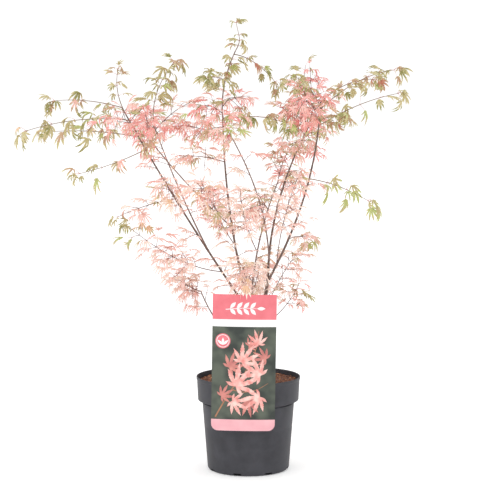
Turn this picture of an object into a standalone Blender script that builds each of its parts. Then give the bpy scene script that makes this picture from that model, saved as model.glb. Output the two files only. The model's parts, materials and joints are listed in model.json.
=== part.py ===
"""A young Japanese maple in its nursery pot: pot, compost, label, stems and leaf masses.

Lengths in this file are millimetres and become metres as each mesh is made.  The
origin is the centre of the pot's flat underside; +X is to the right of someone who
faces the label, +Y goes away from them and +Z is up.
"""
import math
import random
from collections import namedtuple

import bmesh
import bpy
from mathutils import Matrix, Vector, kdtree
from mathutils.bvhtree import BVHTree

MM = 0.001
GAP = 0.3                      # clearance kept wherever two pieces meet

# --- pot: a 19 cm, three-litre injection-moulded nursery container ----------------
RIM_RADIUS = 96.0
POT_HEIGHT = 173.0
COLLAR_HEIGHT = 44.0           # the deep stacking collar under the rim
COLLAR_FOOT_RADIUS = 93.2
BODY_TOP_RADIUS = 85.4
BASE_RADIUS = 75.6
POT_WALL = 1.8
BASE_ROUNDING = 3.0
NOTCHES = 8                    # drainage notches round the bottom edge
NOTCH_WIDTH = 14.5
NOTCH_HEIGHT = 5.0
NOTCH_DEPTH = 8.0
FIRST_NOTCH_ANGLE = -60.5      # degrees from +X, front right of the pot
TURNED_SIDES = 36

# --- compost ------------------------------------------------------------------------
SOIL_LEVEL = 160.0
SOIL_EDGE_DROP = 3.0
SOIL_FLAT_RADIUS = 62.0

# --- label card, hung over the rim --------------------------------------------------
CARD_WIDTH = 114.5
CARD_TOP = 335.5
CARD_BOTTOM = 89.0
CARD_THICKNESS = 0.9
CARD_CENTRE_X = -8.6
CARD_SAG = 5.0                 # how far the sides curve back towards the pot
CARD_CORNER = 12.0             # radius of the two lower corners
CARD_COLUMNS = 14
CARD_ROLL = 0.9                # degrees, clockwise for someone facing it
TONGUE_WIDTH = 22.0            # the tongue goes over the rim and down inside it
TONGUE_THICKNESS = 0.9

# --- stems ----------------------------------------------------------------------------
LIMB_SIDES = 6
LIMB_STEP = 55.0               # length of one straight facet along a limb
TWIG_SIDES = 3
TWIG_STEP = 55.0
TRUNK_FLARE = 2.8              # added radius at the cut, fading up the trunk
FLARE_HEIGHT = 16.0
OLD_BARK_RADIUS = 2.0          # a limb this thick at its foot has old bark
FLARE_SHARES = (0.08, 0.2)     # extra rings where the flare curves most

# Each limb leaves its parent at a share of the parent's length and bends by its bow.
# A limb that carries on from its parent's tip comes before those beside it.
Limb = namedtuple("Limb", "parent share tip bow base_radius tip_radius")
TRUNK = Limb(None, 0.0, (22.0, 0.0, 250.0), (0.0, 0.0, 0.0), 5.6, 4.0)
TRUNK_FOOT = (10.0, 0.0)
LIMBS = {
    "right_leader": Limb("trunk", 1.00, (36, -8, 353), (0, 0, 0), 3.7, 2.9),
    "upright_stem": Limb("right_leader", 1.00, (112, 70, 630), (-18, 0, 0), 2.3, 1.15),
    "right_stem": Limb("right_leader", 0.96, (129, -60, 677), (21, 3, 0), 2.2, 1.25),
    "inner_stem": Limb("upright_stem", 0.12, (-34, -100, 623), (16, 0, 0), 1.5, 1.05),
    "left_leader": Limb("trunk", 0.62, (-2, 2, 312), (-2, 0, 0), 3.2, 2.7),
    "left_centre": Limb("left_leader", 1.00, (-47, 30, 648), (-10, 2, 0), 2.3, 1.35),
    "left_stem": Limb("left_leader", 0.80, (-227, -40, 667), (-6, -6, 0), 2.2, 1.2),
    "left_second": Limb("left_stem", 0.30, (-178, 100, 633), (-4, -8, 0), 1.5, 1.05),
    "top_leader": Limb("left_centre", 1.00, (-23, 20, 772), (-9, 0, 0), 1.3, 1.0),
    "left_inner": Limb("left_centre", 0.40, (-169, -85, 603), (-2, -8, -4), 1.45, 1.05),
    "centre_stem": Limb("left_leader", 0.55, (56, 70, 530), (-14, -4, 0), 1.8, 1.05),
    "low_left": Limb("trunk", 0.42, (-87, -10, 331), (-10, -2, -6), 1.6, 1.1),
}

# --- foliage ----------------------------------------------------------------------------
# Each mass has a stem from its carrier to its tip, with pairs of leaves or side twigs
# along it: how many pairs, how long the side twigs are, the share of the stem that
# stays bare, the length of a leaf blade and its tint.
Mass = namedtuple("Mass", "carrier share tip bow pairs reach bare blade tint")
MASSES = {
    "far_left_upper": Mass("left_stem", 0.94, (-394, -85, 626), (0, 0, 10), 4, 0, 0.30, 38, "olive"),
    "far_left_lower": Mass("left_stem", 0.86, (-378, 60, 622), (0, 0, 6), 3, 0, 0.30, 38, "olive"),
    "left_high": Mass("left_stem", 1.00, (-356, 20, 680), (0, 0, 6), 3, 0, 0.20, 38, "olive"),
    "left_top": Mass("left_stem", 0.97, (-240, 15, 728), (-6, 0, 0), 2, 0, 0.45, 36, "olive"),
    "left_pink": Mass("left_stem", 0.90, (-232, -150, 648), (0, 0, 8), 3, 46, 0.25, 40, "pink"),
    "left_arm_high": Mass("left_stem", 0.80, (-296, -120, 552), (0, 0, -4), 3, 0, 0.35, 40, "olive"),
    "left_arm_mid": Mass("left_stem", 0.56, (-232, -95, 474), (0, 0, 4), 3, 20, 0.30, 38, "peach"),
    "left_arm_low": Mass("left_stem", 0.20, (-216, -70, 456), (4, 0, -18), 3, 34, 0.30, 40, "peach"),
    "left_mid": Mass("left_stem", 0.48, (-145, -150, 535), (0, 0, 6), 3, 34, 0.25, 38, "peach"),
    "left_knot": Mass("left_inner", 1.00, (-176, -165, 640), (0, 0, 6), 3, 40, 0.15, 40, "pink"),
    "low_left_spray": Mass("low_left", 1.00, (-140, 40, 356), (0, 0, -4), 3, 26, 0.15, 38, "peach"),
    "second_left": Mass("left_second", 0.94, (-206, 185, 655), (0, 0, 6), 3, 36, 0.20, 40, "pink"),
    "second_right": Mass("left_second", 0.97, (-112, 105, 676), (0, 0, 6), 3, 30, 0.20, 40, "peach"),
    "left_spire": Mass("left_second", 1.00, (-140, 85, 752), (-14, 0, 0), 3, 0, 0.25, 38, "olive"),
    "inner_front": Mass("left_inner", 0.16, (-86, -200, 538), (0, 0, 4), 3, 34, 0.30, 38, "peach"),
    "mid_shoot": Mass("left_centre", 0.76, (-130, 140, 575), (0, 0, 4), 3, 28, 0.30, 38, "peach"),
    "upper_shoot": Mass("left_centre", 0.90, (-132, -30, 633), (0, 0, 6), 3, 24, 0.30, 36, "pink"),
    "crown_front": Mass("top_leader", 0.06, (-84, -130, 670), (0, 0, 6), 3, 40, 0.20, 40, "pink"),
    "crown_back": Mass("top_leader", 0.18, (-22, 190, 684), (0, 0, 8), 3, 42, 0.25, 40, "pink"),
    "leader_cluster": Mass("top_leader", 0.55, (-72, -56, 720), (0, 0, 4), 3, 0, 0.30, 36, "olive"),
    "leader_top": Mass("top_leader", 1.00, (-17, 25, 799), (3, 0, 0), 3, 0, 0.25, 32, "olive"),
    "leader_side": Mass("top_leader", 0.94, (50, 90, 716), (0, 0, 10), 3, 0, 0.30, 36, "olive"),
    "inner_tip": Mass("inner_stem", 1.00, (-46, -205, 633), (0, 0, 4), 3, 38, 0.15, 40, "pink"),
    "long_right": Mass("left_centre", 0.985, (66, -118, 640), (0, -10, 10), 3, 0, 0.25, 36, "olive"),
    "left_mid_back": Mass("left_centre", 0.30, (-76, 160, 505), (-6, 0, 0), 3, 34, 0.30, 38, "peach"),
    "centre_front": Mass("centre_stem", 0.50, (-14, -190, 528), (-6, 0, 0), 3, 32, 0.35, 38, "peach"),
    "centre_back": Mass("centre_stem", 0.80, (22, 215, 474), (0, 0, 6), 3, 36, 0.25, 38, "peach"),
    "centre_tip": Mass("centre_stem", 1.00, (80, 110, 592), (-4, 0, 0), 3, 34, 0.20, 40, "pink"),
    "low_front": Mass("centre_stem", 0.30, (-16, -150, 402), (0, 0, -6), 3, 32, 0.35, 38, "peach"),
    "low_back": Mass("centre_stem", 0.22, (22, 170, 362), (0, 0, -6), 3, 32, 0.30, 38, "peach"),
    "right_inner": Mass("right_stem", 0.10, (86, -130, 545), (-6, -6, 0), 3, 30, 0.40, 38, "peach"),
    "upright_back": Mass("upright_stem", 0.58, (90, 205, 545), (0, 0, 6), 3, 36, 0.25, 40, "pink"),
    "upright_mid": Mass("upright_stem", 0.85, (84, -50, 604), (0, 0, 6), 3, 32, 0.30, 38, "pink"),
    "upright_tip": Mass("upright_stem", 1.00, (92, 165, 672), (0, 0, 6), 3, 42, 0.15, 40, "pink"),
    "right_front": Mass("right_stem", 0.93, (92, -180, 682), (0, 0, 6), 3, 42, 0.20, 40, "pink"),
    "right_crown": Mass("right_stem", 0.98, (94, 10, 726), (0, 0, 4), 3, 34, 0.25, 38, "pink"),
    "right_green": Mass("right_stem", 0.90, (166, -150, 650), (0, 0, 4), 3, 0, 0.30, 38, "olive"),
    "right_top_one": Mass("right_stem", 1.00, (228, -20, 718), (0, 0, 12), 3, 0, 0.25, 34, "olive"),
    "right_top_two": Mass("right_stem", 0.96, (274, 100, 738), (0, 0, 14), 4, 0, 0.30, 36, "olive"),
    "right_top_three": Mass("right_stem", 0.87, (262, -120, 692), (0, 0, 8), 4, 0, 0.30, 36, "olive"),
    "right_arm": Mass("right_stem", 0.58, (212, -90, 503), (0, 0, 6), 3, 0, 0.30, 40, "olive"),
    "right_low": Mass("right_stem", 0.24, (116, 60, 420), (0, 0, 6), 3, 16, 0.45, 38, "peach"),
    "back_right": Mass("right_leader", 0.34, (100, 180, 388), (0, 0, 12), 3, 28, 0.45, 38, "peach"),
    "low_right_spray": Mass("right_leader", 0.14, (92, -60, 352), (6, 0, -6), 3, 20, 0.60, 38, "pink"),
}
MASS_STEM_RADIUS = 1.05
MASS_TIP_RADIUS = 0.85
SIDE_TWIG_RADIUS = 0.8
SIDE_TWIG_ROOT_RADIUS = 0.5    # inside its stem
STALK_RADIUS = 0.42            # the three-sided leaf stalk
STALK_SHARE = 0.50             # of the blade's length
STALK_STRETCH = (0.85, 1.2)
PAIR_ANGLE = 56.0              # degrees between a side twig or stalk and its stem
PAIR_TURN = 0.4                # radians, the most that a stem's first pair is turned
ROOT_SINK = 3.0                # how deep the last leaf's stalk is sunk in its twig
PAIR_STAGGER = 1.0             # half the distance along the stem between the two of a pair
SIDE_PAIR_SHARE = 0.66         # where on a side twig its pair stands
SIDE_PAIR_TURN = 0.6
SIDE_PAIR_BLADE = 0.92         # of the mass's blade
TWIG_STRETCH = (0.75, 1.15)    # of a side twig's length
TWIG_SWAY = 0.25               # how far a side twig's direction strays
STALK_SWAY = 0.3               # and a stalk's
LAST_PAIR_SHARE = 0.90         # where on the stem the last pair stands
TIP_ROOT_SHARE = 0.97          # and where the leaf at its tip is rooted
TRIES = 7                      # seeded turns that a twig or leaf may try before it is skipped
CLEARANCE = 0.6                # kept round a blade or stalk
BLADE_SPREAD = (0.86, 1.1)     # the least and most of a blade's given length
BLADE_RISE = 0.45              # of the blade above its rim, where it meets its stalk
BLADE_DIP = (0.15, 0.95)       # how far the midrib dips below its stalk
BLADE_TILT = 0.5               # how far a blade leans from level
BLADE_DROOP = (0.1, 0.3)       # how far its lobes curve down, as a share of its length
STALK_FREE = 1.2               # a stalk's guard starts this far past the depth of its root
TWIG_FREE = 1.5                # and a side twig's
NUDGES = 40                    # tries at bending a mass's stem clear of the others
NUDGE = 9.0
SPACE_SAMPLES = 12             # points along each stem that mark the space it owns
SPACE_FROM = 0.15              # the share of the stem where they start
SPECK = 0.005                  # vertices of a joined mass closer than this are welded
SLIVER = 0.0003                # a joined mass with a triangle thinner than this is grown again
REGROWTHS = 24
# The first growths of these aren't used, because their solids come apart.
PASSED_OVER = {"left_knot": 2}
SEED = 20

# Outline of half a leaf blade, from its base round to the middle lobe: each point is
# an angle from the midrib in degrees and a share of the blade's length.
HALF_LEAF = ((84, 0.58), (60, 0.27), (41, 0.86), (20, 0.31))

TINTS = {
    "pink": (0.87, 0.27, 0.27),
    "peach": (0.92, 0.55, 0.44),
    "olive": (0.42, 0.36, 0.13),
}
BARK_COLOUR = (0.075, 0.045, 0.042)
YOUNG_BARK_COLOUR = (0.16, 0.085, 0.08)
POT_COLOUR = (0.055, 0.06, 0.068)
SOIL_COLOUR = (0.17, 0.075, 0.035)
CARD_COLOUR = (0.75, 0.12, 0.18)


# --- helpers ---------------------------------------------------------------------------
def clear_scene():
    for item in list(bpy.data.objects):
        bpy.data.objects.remove(item, do_unlink=True)


def material(name, colour, roughness=0.6):
    made = bpy.data.materials.new(name)
    made.use_nodes = True
    shader = made.node_tree.nodes["Principled BSDF"]
    shader.inputs["Base Color"].default_value = (*colour, 1.0)
    shader.inputs["Roughness"].default_value = roughness
    shader.inputs["Metallic"].default_value = 0.0
    made.diffuse_color = (*colour, 1.0)
    return made


def add_object(name, shape, surface=None, smooth_angle=None):
    """A mesh object from vertices in millimetres and faces; the shape is (vertices, faces)."""
    vertices, faces = shape
    mesh = bpy.data.meshes.new(name)
    mesh.from_pydata([tuple(v * MM for v in vertex) for vertex in vertices], [], faces)
    mesh.update()
    if smooth_angle:
        mesh.shade_smooth()
        mesh.set_sharp_from_angle(angle=math.radians(smooth_angle))
    if surface:
        mesh.materials.append(surface)
    made = bpy.data.objects.new(name, mesh)
    bpy.context.scene.collection.objects.link(made)
    return made


def bake_boolean(target, operation, operand=None, collection=None, solver="EXACT"):
    """Apply one Boolean to the target's mesh."""
    modifier = target.modifiers.new("join", "BOOLEAN")
    modifier.operation = operation
    modifier.solver = solver
    if collection:
        modifier.operand_type = "COLLECTION"
        modifier.collection = collection
    else:
        modifier.object = operand
    graph = bpy.context.evaluated_depsgraph_get()
    result = bpy.data.meshes.new_from_object(target.evaluated_get(graph))
    target.modifiers.remove(modifier)
    target.data = result
    result.name = target.name


def remove(objects):
    for item in objects:
        bpy.data.objects.remove(item, do_unlink=True)


def lathe(profile, sides=TURNED_SIDES):
    """Turn (radius, height) points round Z; the profile starts and ends on the axis."""
    vertices, rings = [], []
    for radius, height in profile:
        if radius == 0.0:
            rings.append([len(vertices)] * sides)
            vertices.append((0.0, 0.0, height))
            continue
        rings.append([len(vertices) + k for k in range(sides)])
        for k in range(sides):
            angle = 2.0 * math.pi * k / sides
            vertices.append((radius * math.cos(angle), radius * math.sin(angle), height))
    faces = []
    for low, high in zip(rings, rings[1:]):
        for k in range(sides):
            following = (k + 1) % sides
            corners = (low[k], low[following], high[following], high[k])
            faces.append(tuple(dict.fromkeys(corners)))
    return vertices, faces


def tube(points, radii, sides, first_facing=None):
    """A closed tube with flat ends round a list of points."""
    vertices, faces = [], []
    side = None
    for index, (point, radius) in enumerate(zip(points, radii)):
        before = points[max(index - 1, 0)]
        after = points[min(index + 1, len(points) - 1)]
        facing = (after - before).normalized()
        if index == 0 and first_facing is not None:
            facing = first_facing
        if side is None:
            side = facing.orthogonal()
        side = (side - facing * side.dot(facing)).normalized()
        other = facing.cross(side)
        for k in range(sides):
            angle = 2.0 * math.pi * k / sides
            around = side * math.cos(angle) + other * math.sin(angle)
            vertices.append(point + around * radius)
    for ring in range(len(points) - 1):
        for k in range(sides):
            following = (k + 1) % sides
            low, high = ring * sides, (ring + 1) * sides
            faces.append((low + k, low + following, high + following, high + k))
    faces.append(tuple(reversed(range(sides))))
    last = (len(points) - 1) * sides
    faces.append(tuple(last + k for k in range(sides)))
    return vertices, faces


def join_shapes(shapes):
    vertices, faces = [], []
    for shape_vertices, shape_faces in shapes:
        offset = len(vertices)
        vertices.extend(shape_vertices)
        faces.extend(tuple(offset + index for index in face) for face in shape_faces)
    return vertices, faces


def tree_of(shape):
    return BVHTree.FromPolygons([tuple(vertex) for vertex in shape[0]], shape[1])


def tree_of_object(item):
    """The tree of an object's mesh where it stands, in millimetres."""
    bpy.context.view_layer.update()
    vertices = [item.matrix_world @ vertex.co / MM for vertex in item.data.vertices]
    return tree_of((vertices, [tuple(face.vertices) for face in item.data.polygons]))


# --- pot, compost and label ----------------------------------------------------------
def pot_inside():
    """The pot's inner profile, from the rim down to the floor's centre."""
    collar_foot = POT_HEIGHT - COLLAR_HEIGHT
    return [
        (RIM_RADIUS - POT_WALL, POT_HEIGHT - 0.8),
        (COLLAR_FOOT_RADIUS - POT_WALL, collar_foot + POT_WALL),
        (BODY_TOP_RADIUS - POT_WALL, collar_foot - 2.0 * POT_WALL),
        (BASE_RADIUS - POT_WALL, BASE_ROUNDING + POT_WALL),
        (BASE_RADIUS - BASE_ROUNDING, POT_WALL),
        (0.0, POT_WALL),
    ]


def build_pot():
    collar_foot = POT_HEIGHT - COLLAR_HEIGHT
    outside = [
        (0.0, 0.0),
        (BASE_RADIUS - BASE_ROUNDING, 0.0),
        (BASE_RADIUS - 0.3 * BASE_ROUNDING, 0.3 * BASE_ROUNDING),
        (BASE_RADIUS, BASE_ROUNDING),
        (BODY_TOP_RADIUS, collar_foot),
        (COLLAR_FOOT_RADIUS, collar_foot),
        (RIM_RADIUS, POT_HEIGHT - 0.8),
        (RIM_RADIUS - 0.5, POT_HEIGHT),
        (RIM_RADIUS - POT_WALL + 0.5, POT_HEIGHT),
    ]
    pot = add_object("pot", lathe(outside + pot_inside()), material("pot", POT_COLOUR, 0.45), 35.0)
    for number in range(NOTCHES):
        angle = math.radians(FIRST_NOTCH_ANGLE + 360.0 * number / NOTCHES)
        bpy.ops.mesh.primitive_cube_add(size=1.0)
        cutter = bpy.context.object
        cutter.name = f"notch_cutter_{number}"
        cutter.scale = (NOTCH_DEPTH * MM, NOTCH_WIDTH * MM, 2.0 * NOTCH_HEIGHT * MM)
        cutter.location = (BASE_RADIUS * MM * math.cos(angle), BASE_RADIUS * MM * math.sin(angle), 0.0)
        cutter.rotation_euler = (0.0, 0.0, angle)
        cutter.hide_render = True
        cutter.display_type = "WIRE"
        bake_boolean(pot, "DIFFERENCE", operand=cutter)
        remove([cutter])
    return pot


def build_soil():
    """The compost: the pot's inside less the clearance, with its edge settled lower."""
    inside = pot_inside()
    rim, collar = inside[0], inside[1]
    edge_height = SOIL_LEVEL - SOIL_EDGE_DROP
    share = (edge_height - collar[1]) / (rim[1] - collar[1])
    edge_radius = collar[0] + share * (rim[0] - collar[0]) - 2.0 * GAP
    side = [(radius - 2.0 * GAP, height + GAP) for radius, height in reversed(inside[1:5])]
    side[0] = (side[0][0], inside[4][1] + GAP)
    profile = [(0.0, POT_WALL + GAP)] + side
    profile += [(edge_radius, edge_height), (SOIL_FLAT_RADIUS, SOIL_LEVEL), (0.0, SOIL_LEVEL)]
    return add_object("compost", lathe(profile), material("compost", SOIL_COLOUR, 0.95), 30.0)


def card_shape():
    """The bowed card: columns of four points, front and back, with rounded lower corners."""
    half = CARD_WIDTH / 2.0
    vertices, faces = [], []
    for column in range(CARD_COLUMNS + 1):
        across = -half * math.cos(math.pi * column / CARD_COLUMNS)
        into_corner = max(0.0, abs(across) - (half - CARD_CORNER))
        lift = CARD_CORNER - math.sqrt(max(CARD_CORNER ** 2 - into_corner ** 2, 0.0))
        bow = CARD_SAG * (across / half) ** 2
        front = -RIM_RADIUS - GAP - CARD_THICKNESS + bow
        for depth in (front, front + CARD_THICKNESS):
            vertices.append((across, depth, CARD_BOTTOM + lift))
            vertices.append((across, depth, CARD_TOP))
    for column in range(CARD_COLUMNS):
        a, b = 4 * column, 4 * column + 4
        faces += [(a, b, b + 1, a + 1), (a + 2, a + 3, b + 3, b + 2)]
        faces += [(a, a + 2, b + 2, b), (a + 1, b + 1, b + 3, a + 3)]
    last = 4 * CARD_COLUMNS
    faces += [(0, 1, 3, 2), (last, last + 2, last + 3, last + 1)]
    return vertices, faces


def tongue_shape():
    """The strip behind the card that goes over the rim and down inside it."""
    half = TONGUE_WIDTH / 2.0
    down = SOIL_LEVEL - SOIL_EDGE_DROP + 3.0
    taper = (RIM_RADIUS - COLLAR_FOOT_RADIUS) / COLLAR_HEIGHT
    wall_radius = RIM_RADIUS - POT_WALL - taper * (POT_HEIGHT - down)
    furthest = half + abs(CARD_CENTRE_X)
    outer = -RIM_RADIUS - GAP - 0.5 * CARD_THICKNESS
    inner = -math.sqrt(wall_radius ** 2 - furthest ** 2) + GAP
    over = POT_HEIGHT + GAP + half * math.sin(math.radians(CARD_ROLL))
    thick = TONGUE_THICKNESS
    outline = [
        (outer, over), (inner, over), (inner, down), (inner + thick, down),
        (inner + thick, over + thick), (outer, over + thick),
    ]
    vertices = [(-half, y, z) for y, z in outline] + [(half, y, z) for y, z in outline]
    count = len(outline)
    faces = [tuple(range(count)), tuple(reversed(range(count, 2 * count)))]
    for index in range(count):
        following = (index + 1) % count
        faces.append((index, index + count, following + count, following))
    return vertices, faces


def build_label():
    surface = material("label", CARD_COLOUR, 0.35)
    card = add_object("label", card_shape(), surface, 30.0)
    tongue = add_object("label_tongue", tongue_shape(), surface)
    for piece in (card, tongue):
        face_outward(piece.data)
    bake_boolean(card, "UNION", operand=tongue)
    remove([tongue])
    card.location.x = CARD_CENTRE_X * MM
    card.location.z = POT_HEIGHT * MM
    card.rotation_euler.y = math.radians(CARD_ROLL)
    card.data.transform(Matrix.Translation((0.0, 0.0, -POT_HEIGHT * MM)))
    return card


def face_outward(mesh):
    work = bmesh.new()
    work.from_mesh(mesh)
    bmesh.ops.recalc_face_normals(work, faces=work.faces)
    work.to_mesh(mesh)
    work.free()


# --- stems -----------------------------------------------------------------------------
class Stem:
    """A tapering limb or twig on a quadratic curve from its parent's axis to its tip."""

    def __init__(self, start, tip, bow, base_radius, tip_radius, sides, step):
        self.start, self.tip, self.bow = Vector(start), Vector(tip), Vector(bow)
        self.base_radius, self.tip_radius = base_radius, tip_radius
        self.sides, self.step = sides, step
        self.length = (self.tip - self.start).length
        self.begin = 0.0
        self.first_facing = None
        self.flare = 0.0

    def point(self, share):
        return self.start.lerp(self.tip, share) + self.bow * (4.0 * share * (1.0 - share))

    def direction(self, share):
        return ((self.tip - self.start) + self.bow * (4.0 * (1.0 - 2.0 * share))).normalized()

    def radius(self, share):
        taper = self.base_radius + (self.tip_radius - self.base_radius) * share
        return taper + self.flare * math.exp(-share * self.length / FLARE_HEIGHT)

    def leave(self, parent, share, siblings=()):
        """Start 0.3 mm clear of the parent: on its end face, or beside it at a fork."""
        if share >= 1.0:
            self.first_facing = parent.direction(1.0)
            self.start = parent.tip + self.first_facing * GAP
            return
        solids = [tree_of(stem.shape()) for stem in (parent, *siblings)]
        while any(tree_of(self.shape(grow=GAP)).overlap(solid) for solid in solids):
            self.begin += GAP / self.length
        self.begin += GAP / self.length

    def shares(self):
        """Where the stem's straight facets begin and end."""
        steps = max(2, round(self.length * (1.0 - self.begin) / self.step))
        shares = [self.begin + (1.0 - self.begin) * k / steps for k in range(steps + 1)]
        if self.flare:
            shares[1:1] = FLARE_SHARES
        return shares

    def axis(self, share):
        """The point and direction at a share of the stem, on the axis of its facet."""
        shares = self.shares()
        if share >= 1.0:
            return self.tip.copy(), self.direction(1.0)
        for low, high in zip(shares, shares[1:]):
            if share <= high:
                break
        start, end = self.point(low), self.point(high)
        return start.lerp(end, (share - low) / (high - low)), (end - start).normalized()

    def shape(self, grow=0.0):
        shares = self.shares()
        points = [self.point(share) for share in shares]
        radii = [self.radius(share) + grow for share in shares]
        return tube(points, radii, self.sides, self.first_facing)


def build_limbs():
    """Every limb's stem by name, from the trunk outwards, and the objects made from them."""
    foot = (*TRUNK_FOOT, SOIL_LEVEL + GAP)
    trunk = Stem(foot, TRUNK.tip, TRUNK.bow, TRUNK.base_radius, TRUNK.tip_radius, LIMB_SIDES, LIMB_STEP)
    trunk.flare = TRUNK_FLARE
    trunk.first_facing = Vector((0.0, 0.0, 1.0))
    stems = {"trunk": trunk}
    for name, limb in LIMBS.items():
        parent = stems[limb.parent]
        radii = (limb.base_radius, limb.tip_radius)
        stem = Stem(parent.axis(limb.share)[0], limb.tip, limb.bow, *radii, LIMB_SIDES, LIMB_STEP)
        beside = [other for other in LIMBS if other in stems and LIMBS[other].parent == limb.parent]
        stem.leave(parent, limb.share, [stems[other] for other in beside])
        stems[name] = stem
    old, young = material("bark", BARK_COLOUR, 0.7), material("young_bark", YOUNG_BARK_COLOUR, 0.6)
    for name, stem in stems.items():
        add_object(name, stem.shape(), old if stem.base_radius > OLD_BARK_RADIUS else young, 60.0)
    return stems


# --- leaves and twigs ------------------------------------------------------------------
def leaf_outline(blade):
    """The blade's outline from its right base to its left base, flat, midrib along +X."""
    half = [(math.radians(angle), share * blade) for angle, share in HALF_LEAF]
    right = [(r * math.cos(a), -r * math.sin(a)) for a, r in half]
    left = [(x, -y) for x, y in reversed(right)]
    return right + [(blade, 0.0)] + left


def leaf_shape(root, base, midrib, normal, blade, droop):
    """A closed leaf: a thin five-lobed blade and a three-sided stalk from root to base."""
    across = normal.cross(midrib).normalized()
    normal = midrib.cross(across).normalized()

    def place(x, y, z):
        sink = droop * (x * x + y * y) / blade
        return base + midrib * x + across * y + normal * (z - sink)

    stalk = (base - root).normalized()
    stalk_across = (across - stalk * across.dot(stalk)).normalized()
    stalk_normal = stalk.cross(stalk_across)
    r = STALK_RADIUS
    vertices = [
        root - stalk_across * r + stalk_normal * 0.4 * r,
        root + stalk_across * r + stalk_normal * 0.4 * r,
        root - stalk_normal * 0.8 * r,
        place(0.0, -r, 0.0),
        place(0.0, r, 0.0),
        place(0.0, 0.0, -1.2 * r),
        place(0.0, 0.0, BLADE_RISE),
    ]
    outline = leaf_outline(blade)
    vertices += [place(x, y, 0.0) for x, y in outline]
    rim = [3] + list(range(7, 7 + len(outline))) + [4]
    top, under = 6, 5
    faces = [(top, a, b) for a, b in zip(rim, rim[1:])]
    faces += [(under, b, a) for a, b in zip(rim, rim[1:])]
    faces.append((top, 4, 3))
    faces += [(0, 3, 4, 1), (1, 4, 5, 2), (2, 5, 3, 0), (0, 1, 2)]
    return vertices, faces


def leaf_guard(root, base, midrib, normal, blade, droop):
    """A looser skin round the same leaf, which has to stay clear of everything else."""
    across = normal.cross(midrib).normalized()
    normal = midrib.cross(across).normalized()
    outline = leaf_outline(blade + 2.0 * CLEARANCE)
    outline = [(-CLEARANCE, -CLEARANCE)] + outline + [(-CLEARANCE, CLEARANCE)]
    vertices = []
    for side in (1.0, -1.0):
        for x, y in outline + [(CLEARANCE, 0.0)]:
            sink = droop * (x * x + y * y) / blade
            lift = side * (CLEARANCE + 0.2) - sink
            vertices.append(base + midrib * x + across * y + normal * lift)
    count = len(outline)
    faces = []
    for index in range(count):
        following = (index + 1) % count
        faces.append((index, following, count))
        faces.append((count + 1 + following, count + 1 + index, 2 * count + 1))
        faces.append((index, count + 1 + index, count + 1 + following, following))
    stalk = (base - root).normalized()
    free = root + stalk * (ROOT_SINK + STALK_FREE)
    stalk_guard = tube([free, base], [STALK_RADIUS + CLEARANCE] * 2, TWIG_SIDES)
    return join_shapes([(vertices, faces), stalk_guard])


class Growth:
    """The pieces of one mass while it grows: its solid shapes, and their trees for testing."""

    def __init__(self, stem, others):
        self.shapes = [stem.shape()]
        self.trees = [tree_of(self.shapes[0])]
        self.others = others

    def clear(self, guard):
        tree = tree_of(guard)
        return not any(tree.overlap(other) for other in self.trees + self.others)

    def add(self, shape):
        self.shapes.append(shape)
        self.trees.append(tree_of(shape))


def pair_directions(axis, turn):
    """Two opposite directions that lean away from the axis, turned about it."""
    side = axis.cross(Vector((0.0, 0.0, 1.0)))
    if side.length < 0.2:
        side = Vector((1.0, 0.0, 0.0))
    side.normalize()
    other = axis.cross(side)
    out = side * math.cos(turn) + other * math.sin(turn)
    lean = math.radians(PAIR_ANGLE)
    return [axis * math.cos(lean) + out * (sign * math.sin(lean)) for sign in (1.0, -1.0)]


def stray(rng, most):
    return Vector([rng.uniform(-most, most) for _ in range(3)])


def leaf_placement(root, direction, blade, rng):
    """Where a stalk ends and how its blade hangs: the midrib dips below the stalk."""
    stalk = (direction + stray(rng, STALK_SWAY)).normalized()
    base = root + stalk * (STALK_SHARE * blade * rng.uniform(*STALK_STRETCH))
    midrib = (stalk - Vector((0.0, 0.0, rng.uniform(*BLADE_DIP)))).normalized()
    up = Vector((rng.uniform(-BLADE_TILT, BLADE_TILT), rng.uniform(-BLADE_TILT, BLADE_TILT), 1.0))
    normal = (up - midrib * up.dot(midrib)).normalized()
    return root, base, midrib, normal, blade, rng.uniform(*BLADE_DROOP)


def grow_leaf(growth, root, direction, blade, rng, in_space):
    for _ in range(TRIES):
        size = blade * rng.uniform(*BLADE_SPREAD)
        placement = leaf_placement(root, direction, size, rng)
        middle = placement[1] + placement[2] * (0.45 * size)
        if in_space(middle) and growth.clear(leaf_guard(*placement)):
            growth.add(leaf_shape(*placement))
            return True
    return False


def grow_side_twig(growth, root, direction, reach, blade, rng, in_space):
    """A side twig with a pair of leaves near its end and one at its tip."""
    for _ in range(TRIES):
        axis = (direction + stray(rng, TWIG_SWAY)).normalized()
        tip = root + axis * (reach * rng.uniform(*TWIG_STRETCH))
        free = root + axis * (ROOT_SINK + TWIG_FREE)
        guard = tube([free, tip + axis * ROOT_SINK], [SIDE_TWIG_RADIUS + CLEARANCE] * 2, TWIG_SIDES)
        if not (in_space(tip) and growth.clear(guard)):
            continue
        growth.add(tube([root, tip], [SIDE_TWIG_ROOT_RADIUS, SIDE_TWIG_RADIUS], TWIG_SIDES))
        fork = root.lerp(tip, SIDE_PAIR_SHARE)
        stagger = axis * PAIR_STAGGER
        for way in pair_directions(axis, rng.uniform(-SIDE_PAIR_TURN, SIDE_PAIR_TURN)):
            grow_leaf(growth, fork + stagger, way, SIDE_PAIR_BLADE * blade, rng, in_space)
            stagger = -stagger
        grow_leaf(growth, tip - axis * ROOT_SINK, axis, blade, rng, in_space)
        return True
    return False


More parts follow.
